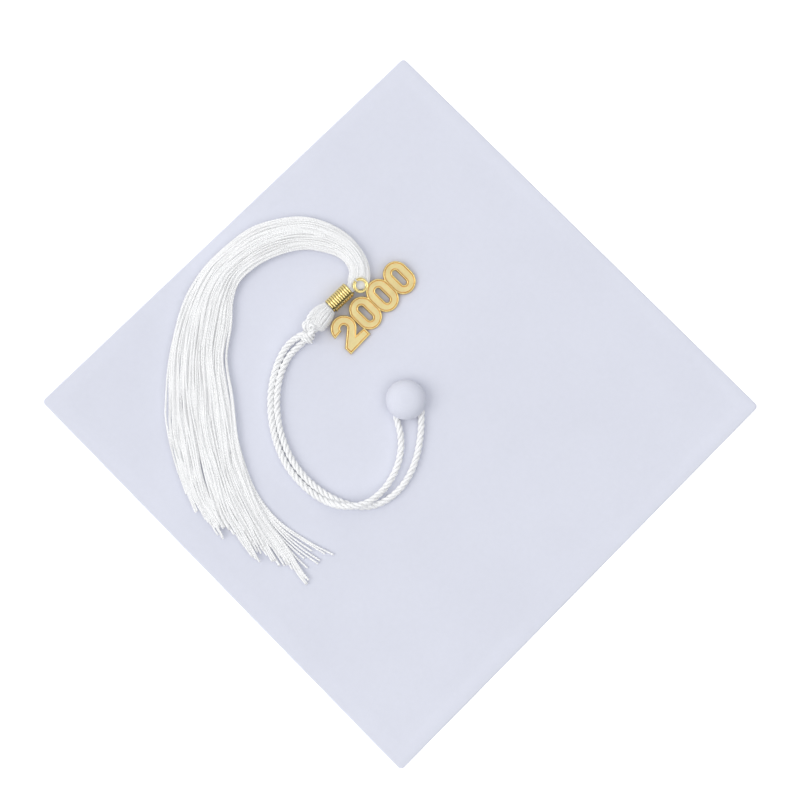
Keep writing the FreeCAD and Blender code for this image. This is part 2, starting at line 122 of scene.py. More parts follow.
def add_world():
    """A white light tent, darker low down on the viewer's right, and plain white behind the object."""
    world = bpy.data.worlds.new("studio")
    world.use_nodes = True
    tree = world.node_tree
    background = tree.nodes["Background"]
    direction = tree.nodes.new("ShaderNodeTexCoord").outputs["Generated"]
    slope = tree.nodes.new("ShaderNodeVectorMath")
    slope.operation = "DOT_PRODUCT"
    slope.inputs[1].default_value = TENT_SLOPE
    tree.links.new(direction, slope.inputs[0])
    shade = tree.nodes.new("ShaderNodeValToRGB")
    tree.links.new(slope.outputs["Value"], shade.inputs["Fac"])
    elements = shade.color_ramp.elements
    elements[0].position, elements[0].color = TENT_DARK_AT, (*TENT_DARK, 1.0)
    elements[1].position, elements[1].color = TENT_LIGHT_AT, (*TENT_LIGHT, 1.0)
    behind = tree.nodes.new("ShaderNodeBackground")
    mix = tree.nodes.new("ShaderNodeMixShader")
    path = tree.nodes.new("ShaderNodeLightPath")
    tree.links.new(shade.outputs["Color"], background.inputs["Color"])
    tree.links.new(path.outputs["Is Camera Ray"], mix.inputs["Fac"])
    tree.links.new(background.outputs["Background"], mix.inputs[1])
    tree.links.new(behind.outputs["Background"], mix.inputs[2])
    tree.links.new(mix.outputs["Shader"], tree.nodes["World Output"].inputs["Surface"])
    behind.inputs["Color"].default_value = (1.0, 1.0, 1.0, 1.0)
    bpy.context.scene.world = world


FLOOR_HALF, FLOOR_LINES = 4.0, 9


def add_studio():
    scene = bpy.context.scene
    scene.view_settings.view_transform = "Standard"
    add_camera()
    add_world()
    for name, light in SUNS.items():
        add_sun(name, *light)

    line = np.linspace(-FLOOR_HALF, FLOOR_HALF, FLOOR_LINES)
    x, y = np.meshgrid(line, line, indexing="ij")
    faces = grid_faces(FLOOR_LINES, FLOOR_LINES, wrap=False)
    floor = add_mesh("floor", np.stack([x, y, 0 * x], -1), faces, floor_material(), recalc=False)


# ---- meshes ----------------------------------------------------------------------------------------

def grid_faces(rows, columns, wrap=True, first=0):
    """Four-sided faces joining rows x columns points; wrap joins the last column to the first."""
    r, c = np.meshgrid(np.arange(rows - 1), np.arange(columns if wrap else columns - 1), indexing="ij")
    n = (c + 1) % columns
    corners = [r * columns + c, r * columns + n, (r + 1) * columns + n, (r + 1) * columns + c]
    return (np.stack(corners, -1).reshape(-1, 4) + first).tolist()


def add_mesh(name, points, faces, material, uvs=None, recalc=True):
    """A smooth object from points and faces, with one UV pair for each point."""
    mesh = bpy.data.meshes.new(name)
    mesh.from_pydata(np.asarray(points, float).reshape(-1, 3).tolist(), [], faces)
    mesh.materials.append(material)
    if recalc:
        shape = bmesh.new()
        shape.from_mesh(mesh)
        bmesh.ops.recalc_face_normals(shape, faces=shape.faces)
        shape.to_mesh(mesh)
        shape.free()
    if uvs is not None:
        layer = mesh.uv_layers.new(name="UVMap")
        corners = np.zeros(len(mesh.loops), int)
        mesh.loops.foreach_get("vertex_index", corners)
        layer.data.foreach_set("uv", np.asarray(uvs, np.float32).reshape(-1, 2)[corners].ravel())
    mesh.polygons.foreach_set("use_smooth", np.ones(len(mesh.polygons), bool))
    mesh.update()
    made = bpy.data.objects.new(name, mesh)
    bpy.context.scene.collection.objects.link(made)
    return made


def place(piece, body, replaced=()):
    """Put a piece on its body and hide the CAD nodes that it stands for."""
    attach(piece, body)
    if replaced:
        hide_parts(*replaced)
    return piece


def unit(v):
    return v / np.maximum(np.linalg.norm(v, axis=-1, keepdims=True), 1e-12)


def arc_lengths(path):
    steps = np.linalg.norm(np.diff(path, axis=-2), axis=-1)
    zero = np.zeros(steps.shape[:-1] + (1,))
    return np.concatenate([zero, np.cumsum(steps, axis=-1)], axis=-1)


def headings(path):
    return unit(np.gradient(path, axis=-2))


def spline(stations, t):
    """A smooth curve through evenly counted stations, at the places t from 0 to their last number."""
    p = np.asarray(stations, float)
    p = np.concatenate([[2 * p[0] - p[1]], p, [2 * p[-1] - p[-2]]])
    i = np.clip(np.floor(t).astype(int), 0, len(p) - 4)
    f = (t - i)[..., None]
    a, b, c, d = p[i], p[i + 1], p[i + 2], p[i + 3]
    bend = (2 * a - 5 * b + 4 * c - d) * f**2
    return 0.5 * (2 * b + (c - a) * f + bend + (3 * b - a - 3 * c + d) * f**3)


class Tubes:
    """Round tubes along many paths, gathered into one mesh, with capped ends."""

    def __init__(self, sides):
        self.sides = sides
        self.points, self.faces, self.uvs = [], [], []
        self.count = 0

    def add(self, path, radius, lean=UP):
        """One tube. lean is the direction, or one for each point, that the ring's second axis leans to."""
        path = np.asarray(path, float)
        radius = np.broadcast_to(radius, len(path))
        along = headings(path)
        side = unit(np.cross(along, np.broadcast_to(lean, path.shape)))
        rise = np.cross(side, along)
        turn = (np.arange(self.sides) * 2 * math.pi / self.sides)[None, :, None]
        ring = side[:, None] * np.cos(turn) + rise[:, None] * np.sin(turn)
        self.points.append((path[:, None] + radius[:, None, None] * ring).reshape(-1, 3))
        rows, first = len(path), self.count
        self.faces += grid_faces(rows, self.sides, first=first)
        self.faces.append(list(range(first, first + self.sides)))
        self.faces.append(list(range(first + (rows - 1) * self.sides, first + rows * self.sides)))
        around = np.arange(self.sides) / self.sides
        reach = arc_lengths(path) / MM
        self.uvs.append(np.stack(np.broadcast_arrays(around[None], reach[:, None]), -1).reshape(-1, 2))
        self.count += rows * self.sides

    def build(self, name, material):
        return add_mesh(name, np.concatenate(self.points), self.faces, material, np.concatenate(self.uvs))


def closed_sheet(outer, inner, wrap):
    """Points and faces of a solid sheet between two arrays of points of the same shape."""
    rows, columns = outer.shape[:2]
    count = rows * columns
    faces = grid_faces(rows, columns, wrap) + grid_faces(rows, columns, wrap, first=count)
    last = (rows - 1) * columns
    for c in range(columns if wrap else columns - 1):
        n = (c + 1) % columns
        faces.append([c, n, n + count, c + count])
        faces.append([last + c, last + n, last + n + count, last + c + count])
    if not wrap:
        for r in range(rows - 1):
            for edge in (0, columns - 1):
                a, b = r * columns + edge, (r + 1) * columns + edge
                faces.append([a, b, b + count, a + count])
    return np.concatenate([outer.reshape(-1, 3), inner.reshape(-1, 3)]), faces


PLIES = 3


def twisted(tubes, path, lay, phase=0.0):
    """Add a twisted cord's plies along a path. lay is their radius, that of their helix, and its pitch."""
    ply_r, helix_r, pitch = lay
    along = headings(path)
    side = unit(np.cross(along, UP))
    rise = np.cross(side, along)
    reach = arc_lengths(path)
    for k in range(PLIES):
        angle = phase + 2 * math.pi * (k / PLIES - reach / pitch)
        outward = side * np.cos(angle)[:, None] + rise * np.sin(angle)[:, None]
        tubes.add(path + helix_r * outward, ply_r, lean=outward)


# ---- materials -------------------------------------------------------------------------------------

class Finish:
    """A material with a shader, and short ways to add procedural nodes to it."""

    def __init__(self, name, colour, **settings):
        self.material = bpy.data.materials.new(name)
        self.material.use_nodes = True
        self.tree = self.material.node_tree
        self.shader = self.tree.nodes["Principled BSDF"]
        self.shader.inputs["Base Color"].default_value = (*colour, 1.0)
        for key, value in settings.items():
            self.shader.inputs[key.replace("_", " ").title()].default_value = value

    def node(self, kind, links=None, **inputs):
        made = self.tree.nodes.new(kind)
        for key, value in inputs.items():
            made.inputs[key].default_value = value
        for key, source in (links or {}).items():
            self.tree.links.new(source, made.inputs[key])
        return made

    def coordinates(self, output="Object", turn=0.0):
        source = self.node("ShaderNodeTexCoord").outputs[output]
        made = self.node("ShaderNodeMapping", {"Vector": source}, Rotation=(0.0, 0.0, turn))
        return made.outputs["Vector"]

    def noise(self, vector, scale, detail=3.0, roughness=0.55):
        return self.node(
            "ShaderNodeTexNoise", {"Vector": vector}, Scale=scale, Detail=detail, Roughness=roughness
        ).outputs["Fac"]

    def wave(self, vector, period, direction):
        """Slightly uneven sine bands with the given period along one axis."""
        scale = math.pi / (10 * period)
        made = self.node("ShaderNodeTexWave", {"Vector": vector}, Scale=scale, Distortion=0.6)
        made.bands_direction = direction
        return made.outputs["Fac"]

    def math(self, operation, a, b=0.0):
        made = self.tree.nodes.new("ShaderNodeMath")
        made.operation = operation
        for socket, value in zip(made.inputs, (a, b)):
            if isinstance(value, (int, float)):
                socket.default_value = value
            else:
                self.tree.links.new(value, socket)
        return made.outputs["Value"]

    def total(self, *terms):
        """The sum of values, each a socket or a pair of a socket and its weight."""
        parts = [self.math("MULTIPLY", *term) if isinstance(term, tuple) else term for term in terms]
        result = parts[0]
        for part in parts[1:]:
            result = self.math("ADD", result, part)
        return result

    def ramp(self, fac, stops):
        """Colours at places from 0 to 1."""
        made = self.node("ShaderNodeValToRGB", {"Fac": fac})
        elements = made.color_ramp.elements
        while len(elements) < len(stops):
            elements.new(0.5)
        for element, (at, colour) in zip(elements, stops):
            element.position = at
            element.color = (*colour, 1.0)
        return made.outputs["Color"]

    def colour(self, source):
        self.tree.links.new(source, self.shader.inputs["Base Color"])

    def roughness(self, fac, low, high):
        made = self.node("ShaderNodeMapRange", {"Value": fac})
        made.inputs["To Min"].default_value = low
        made.inputs["To Max"].default_value = high
        self.tree.links.new(made.outputs["Result"], self.shader.inputs["Roughness"])

    def bump(self, height, distance, strength=1.0):
        made = self.node("ShaderNodeBump", {"Height": height}, Strength=strength, Distance=distance)
        self.tree.links.new(made.outputs["Normal"], self.shader.inputs["Normal"])
        return self.material


FILAMENTS = 7  # bunches of filaments round a thread


def tint(colour, factor):
    return tuple(min(1.0, c * factor) for c in colour)


WEAVE = 0.42 * MM  # spacing of the covers' threads


def cloth_material(name, colour, period=WEAVE, turn=0.0, contrast=0.03, depth=0.05 * MM, sheen=0.25):
    """Plain-woven cloth: two crossed sets of threads, with faint unevenness in colour and lie."""
    finish = Finish(name, colour, roughness=0.82, sheen_weight=sheen, sheen_roughness=0.5)
    finish.shader.inputs["Specular IOR Level"].default_value = 0.25
    vector = finish.coordinates(turn=turn)
    warp, weft, third = [finish.wave(vector, period, axis) for axis in "XYZ"]
    weave = finish.total((warp, weft), (third, 0.5))
    slubs = finish.noise(vector, 420.0, 4.0, 0.6)
    cloudy = finish.noise(vector, 26.0, 2.0, 0.5)
    fac = finish.total((weave, 0.35), (slubs, 0.35), (cloudy, 0.4))
    dark, light = tint(colour, 1 - contrast), tint(colour, 1 + contrast)
    finish.colour(finish.ramp(fac, [(0.15, dark), (0.85, light)]))
    finish.roughness(slubs, 0.74, 0.92)
    return finish.bump(finish.total(weave, (slubs, 0.9)), depth, 0.55)


def floor_material():
    finish = Finish("floor", (0.93, 0.93, 0.93), roughness=0.9)
    finish.shader.inputs["Emission Color"].default_value = (1.0, 1.0, 1.0, 1.0)
    finish.shader.inputs["Emission Strength"].default_value = 0.55
    vector = finish.coordinates()
    finish.colour(finish.ramp(finish.noise(vector, 6.0), [(0.2, (0.92,) * 3), (0.8, (0.94,) * 3)]))
    return finish.material


def rayon_material(name, colour, bead, twist, gloss, depth, groove_shade=0.9, bead_shade=0.2, painted_glow=0.0):
    """Bright rayon thread: fine filaments, knitted or twisted beads across it, and painted shade on its
    flanks.

    groove_shade is painted shade: how dark the colour goes away from the crest, which a tube's own lean
    points to.
    bead_shade is how much painted shade the beads, one every bead mm, put in the colour. twist is how fast
    the filaments turn. painted_glow is painted light: an emission standing for light that soaks through the
    threads.
    """
    finish = Finish(name, colour, roughness=gloss, sheen_weight=0.15, sheen_roughness=0.35)
    finish.shader.inputs["Subsurface Weight"].default_value = 0.35
    finish.shader.inputs["Subsurface Radius"].default_value = (1.0, 1.0, 1.0)
    finish.shader.inputs["Subsurface Scale"].default_value = 0.5 * MM
    # A faint emission: painted light that brightens the white threads and their shade.
    finish.shader.inputs["Emission Color"].default_value = (1.0, 1.0, 1.0, 1.0)
    finish.shader.inputs["Emission Strength"].default_value = painted_glow
    vector = finish.coordinates("UV")
    split = finish.node("ShaderNodeSeparateXYZ", {"Vector": vector})
    around, along = split.outputs["X"], split.outputs["Y"]
    crest = finish.math("SINE", finish.math("MULTIPLY", around, 2 * math.pi))
    beads = finish.math("SINE", finish.math("MULTIPLY", along, 2 * math.pi / bead))
    filaments = finish.math("SINE", finish.total((around, FILAMENTS * 2 * math.pi), (along, twist)))
    rough = finish.noise(finish.coordinates(), 700.0, 3.0)
    patches = finish.noise(finish.coordinates(), 90.0, 2.0)
    # Colour: painted shade away from each tube's crest and in the joints between beads, plus random tone
    # from the noises.
    fac = finish.total((crest, 0.28), (beads, bead_shade), (rough, 0.5), (patches, 0.5))
    finish.colour(finish.ramp(fac, [(0.15, tint(colour, groove_shade)), (0.62, tint(colour, 1.02))]))
    finish.roughness(rough, gloss - 0.08, gloss + 0.12)
    return finish.bump(finish.total((beads, 0.7), (filaments, 0.3), (rough, 0.8)), depth, 0.8)


def gold_material(name, colour, gloss, grain, depth, strength, valley_shade=None):
    """Plated metal: slight unevenness of tone and polish, with a grain of the given scale.

    valley_shade is painted shade: the colour away from a wound wire's crest, which its tube's own lean
    points to.
    """
    finish = Finish(name, colour, metallic=1.0, roughness=gloss)
    vector = finish.coordinates()
    cells = finish.node("ShaderNodeTexVoronoi", {"Vector": vector}, Scale=grain).outputs["Distance"]
    fine = finish.noise(vector, grain * 1.6, 2.0)
    if valley_shade:
        # Painted shade: the colour darkens from each turn's crest into the valleys between the turns.
        around = finish.node("ShaderNodeSeparateXYZ", {"Vector": finish.coordinates("UV")}).outputs["X"]
        crest = finish.math("SINE", finish.math("MULTIPLY", around, 2 * math.pi))
        fac = finish.total(crest, (fine, 0.2))
        finish.colour(finish.ramp(fac, [(0.55, valley_shade), (0.98, tint(colour, 1.05))]))
    else:
        soft = finish.noise(vector, 160.0, 2.0)
        tone = finish.total((soft, 0.7), (fine, 0.3))
        finish.colour(finish.ramp(tone, [(0.25, tint(colour, 0.86)), (0.75, tint(colour, 1.06))]))
    finish.roughness(fine, max(0.05, gloss - 0.08), gloss + 0.1)
    return finish.bump(finish.total(cells, fine), depth, strength)


def board_material():
    """Greyboard: pressed fibres in a warm grey."""
    finish = Finish("greyboard", (0.42, 0.39, 0.35), roughness=0.9)
    vector = finish.coordinates()
    fibres = finish.noise(vector, 900.0, 6.0, 0.7)
    finish.colour(finish.ramp(fibres, [(0.3, (0.33, 0.31, 0.28)), (0.7, (0.50, 0.47, 0.42))]))
    return finish.bump(fibres, 0.1 * MM, 0.6)


def metal_material():
    """Dull tinned steel with fine turning marks."""
    finish = Finish("tinned_metal", (0.62, 0.62, 0.60), metallic=1.0, roughness=0.35)
    vector = finish.coordinates()
    marks = finish.noise(vector, 1500.0, 2.0)
    finish.colour(finish.ramp(marks, [(0.2, (0.55, 0.55, 0.53)), (0.8, (0.68, 0.68, 0.66))]))
    finish.roughness(marks, 0.28, 0.48)
    return finish.bump(marks, 0.02 * MM, 0.4)


WHITE_CLOTH = (0.735, 0.75, 0.845)
WHITE_RAYON = (0.90, 0.902, 0.91)

cover_cloth = cloth_material("cover_cloth", WHITE_CLOTH, turn=math.radians(45), contrast=0.05)
button_cloth = cloth_material("button_cloth", tint(WHITE_CLOTH, 1.01))
skull_cloth = cloth_material("skull_cloth", tint(WHITE_CLOTH, 0.99))
interlining = cloth_material(
    "interlining", (0.78, 0.78, 0.76), 1.1 * MM, contrast=0.08, depth=0.12 * MM, sheen=0.0,
)
band_cloth = cloth_material("band_cloth", (0.76, 0.77, 0.82), 0.5 * MM, contrast=0.05)
elastic_knit = cloth_material(
    "elastic_knit", (0.80, 0.80, 0.80), 0.9 * MM, contrast=0.1, depth=0.15 * MM,
)
tape_cloth = cloth_material(
    "tape_cloth", (0.72, 0.73, 0.80), 0.8 * MM, turn=math.radians(30), contrast=0.08,
)
thread = rayon_material("sewing_thread", (0.80, 0.81, 0.86), 0.5, 9.0, 0.55, 0.03 * MM)
cord_rayon = rayon_material("cord_rayon", WHITE_RAYON, 2.4, 1.3, 0.30, 0.05 * MM, 0.58, 0.04, 0.05)
strand_rayon = rayon_material("strand_rayon", WHITE_RAYON, 1.3, 5.0, 0.36, 0.12 * MM, 0.88, 0.34, 0.12)
head_rayon = rayon_material("head_rayon", WHITE_RAYON, 3.1, 5.0, 0.30, 0.06 * MM, 0.78, 0.04, 0.04)
# The coil's wire gets painted shade in the valleys between its turns.
gold_wire = gold_material(
    "gold_wire", (0.95, 0.78, 0.34), 0.10, 900.0, 0.01 * MM, 0.3, valley_shade=(0.34, 0.22, 0.03),
)
gold_rim = gold_material("gold_rim", (1.0, 0.82, 0.38), 0.24, 700.0, 0.012 * MM, 0.35)
gold_stipple = gold_material("gold_stipple", (1.0, 0.82, 0.42), 0.42, 2100.0, 0.20 * MM, 1.0)
# Darker gold on the charm's walls and groove: painted shade for their dark outlines.
gold_shaded_wall = gold_material("gold_shaded_wall", (0.84, 0.47, 0.09), 0.3, 900.0, 0.02 * MM, 0.3)


# ---- tassel's cord ---------------------------------------------------------------------------------

# Control points of the cord's line, from the knot round the button and back: x, y, and height on the cloth
CORD_ROUTE = [
    (-0.0464, 0.0328, 0.0025), (-0.0512, 0.0307, 0.0020), (-0.0566, 0.0252, 0.0003),
    (-0.0606, 0.0156, 0.0), (-0.0626, 0.0046, 0.0), (-0.0622, -0.0076, 0.0),
    (-0.0596, -0.0192, 0.0), (-0.0546, -0.0302, 0.0), (-0.0464, -0.0398, 0.0),
    (-0.0370, -0.0466, 0.0004), (-0.0276, -0.0496, 0.0043), (-0.0170, -0.0484, 0.0043),
    (-0.0090, -0.0418, 0.0004), (-0.0036, -0.0336, 0.0), (-0.0007, -0.0246, 0.0),
    (-0.0005, -0.0148, 0.0), (-0.0033, -0.0060, 0.0), (-0.0032, 0.0039, 0.0),
    (0.0027, 0.0073, 0.0), (0.0086, 0.0039, 0.0), (0.0091, -0.0056, 0.0),
    (0.0087, -0.0158, 0.0), (0.0067, -0.0266, 0.0), (0.0022, -0.0370, 0.0),
    (-0.0054, -0.0452, 0.0), (-0.0152, -0.0495, 0.0), (-0.0254, -0.0484, 0.0),
    (-0.0351, -0.0441, 0.0), (-0.0439, -0.0376, 0.0), (-0.0514, -0.0288, 0.0),
    (-0.0565, -0.0180, 0.0), (-0.0593, -0.0064, 0.0), (-0.0595, 0.0057, 0.0),
    (-0.0572, 0.0161, 0.0), (-0.0527, 0.0245, 0.0), (-0.0464, 0.0297, 0.0002),
]
# Radius of the plies and of their helix, and its pitch, in the cord and where it is wrapped and knotted
CORD_LAY = (0.80 * MM, 0.85 * MM, 9.3 * MM)
WRAP_LAY = (0.60 * MM, 0.66 * MM, 6.2 * MM)
KNOT_LAY = (0.76 * MM, 0.82 * MM, 7.6 * MM)
LOOP_LAY = (0.62 * MM, 0.66 * MM, 6.4 * MM)


def route_points():
    """Points along the cord's smooth line, read from a curve that has the route as its control points."""
    curve = bpy.data.curves.new("route", "CURVE")
    curve.dimensions = "3D"
    line = curve.splines.new("NURBS")
    line.points.add(len(CORD_ROUTE) - 1)
    for point, (x, y, height) in zip(line.points, CORD_ROUTE):
        point.co = (x, y, CORD_Z + height, 1.0)
    line.order_u = 3
    line.use_endpoint_u = True
    line.resolution_u = 24
    carrier = bpy.data.objects.new("route", curve)
    mesh = bpy.data.meshes.new_from_object(carrier)
    points = np.array([v.co for v in mesh.vertices], float)
    bpy.data.objects.remove(carrier)
    bpy.data.curves.remove(curve)
    bpy.data.meshes.remove(mesh)
    return points


def make_cord():
    path = route_points()
    tubes = Tubes(sides=12)
    twisted(tubes, path, CORD_LAY)
    cord = place(tubes.build("twisted_cord", cord_rayon), "loop", ["tassel_cord"])
    knots = make_knots()


NECK = np.array([-0.0452, 0.0314, TASSEL_Z + 3.3 * MM])
KNOT = np.array([-0.0440, 0.0352, TASSEL_Z + 4.6 * MM])
WRAP_TURNS, WRAP_R, WRAP_PITCH = 2.2, 2.1 * MM, 1.7 * MM
KNOT_SCALE = 1.0 * MM
KNOT_RISE = 1.5 * MM


def make_knots():
    """The wrap where the legs meet, and the cord's own knot, both of the same twisted plies."""
    lead = unit(KNOT - NECK)
    side = unit(np.cross(lead, UP))
    rise = np.cross(side, lead)
    turns = np.linspace(0, WRAP_TURNS, 90)
    angle = 2 * math.pi * turns
    wrap = NECK + WRAP_R * (np.outer(np.cos(angle), side) + 0.9 * np.outer(np.sin(angle), rise))
    wrap += np.outer((turns - WRAP_TURNS / 2) * WRAP_PITCH, lead)
    tubes = Tubes(sides=9)
    twisted(tubes, wrap, WRAP_LAY, phase=1.0)
    neck = place(tubes.build("neck_wrap", cord_rayon), "loop", ["neck_knot"])

    a = np.arange(180) * 2 * math.pi / 180
    flat_u = np.sin(a) + 2 * np.sin(2 * a)
    flat_v = np.cos(a) - 2 * np.cos(2 * a)
    trefoil = KNOT + KNOT_SCALE * (np.outer(flat_u, side) + np.outer(flat_v, lead))
    trefoil += np.outer(-np.sin(3 * a) * KNOT_RISE, rise)
    trefoil = np.concatenate([trefoil, trefoil[:3]])
    tubes = Tubes(sides=9)
    twisted(tubes, trefoil, KNOT_LAY)
    knot = place(tubes.build("woven_knot", cord_rayon), "loop", ["cord_knot"])
    return [neck, knot]


# ---- tassel's head and band ------------------------------------------------------------------------

HEAD_L = 12.6 * MM
# Along the head from its closed end to the band: half width, half height and offset to the side, in mm
HEAD_FORM = [
    (0.3, 0.3, 1.9), (4.2, 3.3, 1.5), (4.95, 3.9, 0.9), (5.2, 4.1, 0.45),
    (5.05, 4.1, 0.25), (4.75, 4.0, 0.15), (4.25, 3.8, 0.05), (3.7, 3.6, 0.0),
]
HEAD_STRANDS = 50


def head_surface(share, angle, grow=0.0):
    """Points on the head, share from 0 at its closed end to 1 at the band."""
    form = spline(HEAD_FORM, share * (len(HEAD_FORM) - 1)) * MM
    half_w, half_h, offset = form[..., 0] + grow, form[..., 1] + grow, form[..., 2]
    reach = (share**0.8 - 1) * HEAD_L
    middle = BAND_START + reach[..., None] * AXIS + offset[..., None] * ACROSS
    return (
        middle + (half_w * np.cos(angle))[..., None] * ACROSS + (half_h * np.sin(angle))[..., None] * UP
    )


def make_head():
    share = np.linspace(0.0, 1.0, 34)
    tubes = Tubes(sides=6)
    for i in range(HEAD_STRANDS):
        start = 2 * math.pi * (i + rng.uniform(-0.3, 0.3)) / HEAD_STRANDS
        sway = rng.uniform(-0.16, 0.16) * np.sin(math.pi * share) + rng.uniform(-0.08, 0.08) * share
        lift = rng.uniform(-0.12, 0.10) * MM
        path = head_surface(np.maximum(share, 0.004), start + sway, lift - 0.25 * MM)
        radius = (0.20 + 0.24 * np.sin(math.pi * np.clip(share * 0.85 + 0.07, 0, 1))) * MM
        tubes.add(path, radius * rng.uniform(0.9, 1.15), lean=unit(path - BAND_START + 4 * MM * AXIS))
    place(tubes.build("head_strands", head_rayon), "tassel", ["tassel_head"])

    rows, columns = 24, 40
    around = np.linspace(0, 2 * math.pi, columns, endpoint=False)
    share, angle = np.meshgrid(np.linspace(0.01, 1.0, rows), around, indexing="ij")
    points = head_surface(share, angle, -0.42 * MM)
    faces = grid_faces(rows, columns)
    faces += [list(range(columns)), list(range((rows - 1) * columns, rows * columns))]
    core = add_mesh("head_core", points, faces, head_rayon, np.stack([angle, share * 10], -1))
    place(core, "tassel")

    # The end of the cord loops up over the strands on the head's left side
    tubes = Tubes(sides=9)
    for aside, low in ((0.0, 0.0), (1.5 * MM, 0.7 * MM)):
        loop = np.array([
            (-0.0440, 0.0352, KNOT[2] + 1.6 * MM), (-0.0449, 0.0384, KNOT[2] + 2.5 * MM),
            (-0.0436, 0.0412, KNOT[2] + 2.5 * MM), (-0.0419, 0.0434, KNOT[2] + 1.3 * MM),
            (-0.0408, 0.0448, KNOT[2] - 0.8 * MM),
        ]) + aside * ACROSS - low * UP
        line = spline(loop, np.linspace(0, 4, 40))
        twisted(tubes, line, LOOP_LAY, phase=aside / MM)
    place(tubes.build("head_loops", cord_rayon), "tassel")


WIRE_R = 0.70 * MM
COIL_TURNS = 10


def make_band():
    t = np.linspace(0, 1, COIL_TURNS * 40)
    angle = 2 * math.pi * COIL_TURNS * t
    outward = np.outer(np.cos(angle), ACROSS) + np.outer(np.sin(angle), UP)
    ease = np.minimum(1.0, np.minimum(t, 1 - t) * 30)
    path = BAND_START + np.outer(WIRE_R + t * (BAND_L - 2 * WIRE_R), AXIS)
    path = path + outward * (BAND_R - WIRE_R - (1 - ease) * 0.5 * MM)[:, None]
    tubes = Tubes(sides=14)
    tubes.add(path, WIRE_R * (0.7 + 0.3 * ease), lean=outward)
    place(tubes.build("gold_coil", gold_wire), "tassel", ["tassel_band"])


# ---- fringe ----------------------------------------------------------------------------------------

# Both edges of the fringe where it lies, and its height: outer x, y, inner x, y, height, in metres
FRINGE_EDGES = [
    (-0.0335, 0.0430, -0.0365, 0.0472, 0.0046),
    (-0.0236, 0.0534, -0.0268, 0.0565, 0.0046),
    (-0.0168, 0.0566, -0.0262, 0.0592, 0.0046),
    (-0.0162, 0.0654, -0.0256, 0.0632, 0.0054),
    (-0.0199, 0.0736, -0.0278, 0.0676, 0.0062),
    (-0.0268, 0.0812, -0.0325, 0.0708, 0.0062),
    (-0.0365, 0.0867, -0.0392, 0.0728, 0.0062),
    (-0.0480, 0.0892, -0.0470, 0.0736, 0.0060),
    (-0.0605, 0.0878, -0.0556, 0.0722, 0.0058),
    (-0.0725, 0.0836, -0.0643, 0.0688, 0.0056),
    (-0.0840, 0.0752, -0.0722, 0.0636, 0.0056),
    (-0.0940, 0.0658, -0.0782, 0.0572, 0.0054),
    (-0.1022, 0.0530, -0.0808, 0.0480, 0.0052),
    (-0.1078, 0.0390, -0.0815, 0.0362, 0.0050),
    (-0.1107, 0.0235, -0.0826, 0.0220, 0.0048),
    (-0.1118, 0.0070, -0.0806, 0.0070, 0.0047),
    (-0.1107, -0.0090, -0.0785, -0.0085, 0.0046),
    (-0.1074, -0.0240, -0.0758, -0.0235, 0.0045),
    (-0.1028, -0.0380, -0.0718, -0.0378, 0.0044),
    (-0.0982, -0.0500, -0.0648, -0.0525, 0.0040),
    (-0.0925, -0.0610, -0.0560, -0.0660, 0.0034),
    (-0.0850, -0.0730, -0.0460, -0.0795, 0.0028),
    (-0.0770, -0.0840, -0.0355, -0.0905, 0.0024),
]
MOUTH = 1  # the station at the band's mouth
STRANDS = 146
STRAND_RINGS = 240
EDGE_RINGS = 640  # strands at the fringe's two edges show their beads in outline
EDGE_FROM = 0.90
BEAD_L, BEAD_SWELL = 1.3 * MM, 0.16
STRAND_SIDES = 6
FRINGE_PIECES = 4
LOCKS = 11


def fringe_end(v):
    """The station where a strand ends, from its place across the fringe: 0 at the inner edge, 1 outside."""
    return 21.35 - 2.2 * v**1.25 - 0.4 * np.exp(-((v - 0.6) / 0.1) ** 2)


def wander(t, sizes, spans):
    """A smooth random sideways drift, the sum of a few waves."""
    total = np.zeros_like(t)
    for size, span in zip(sizes, spans):
        total += size * np.sin(2 * math.pi * (t / span + rng.uniform(0, 1)))
    return total


def flow(side, t):
    """Drift that neighbouring strands share, so that they lie in soft waves beside each other."""
    slow = np.sin(2.1 * t / 3 + 2.3 * side) * 0.05 + np.sin(2.1 * t / 1.3 + 5.0 * side + 1.0) * 0.022
    return slow + np.sin(2.1 * t / 0.8 - 7.0 * side + 2.0) * 0.012


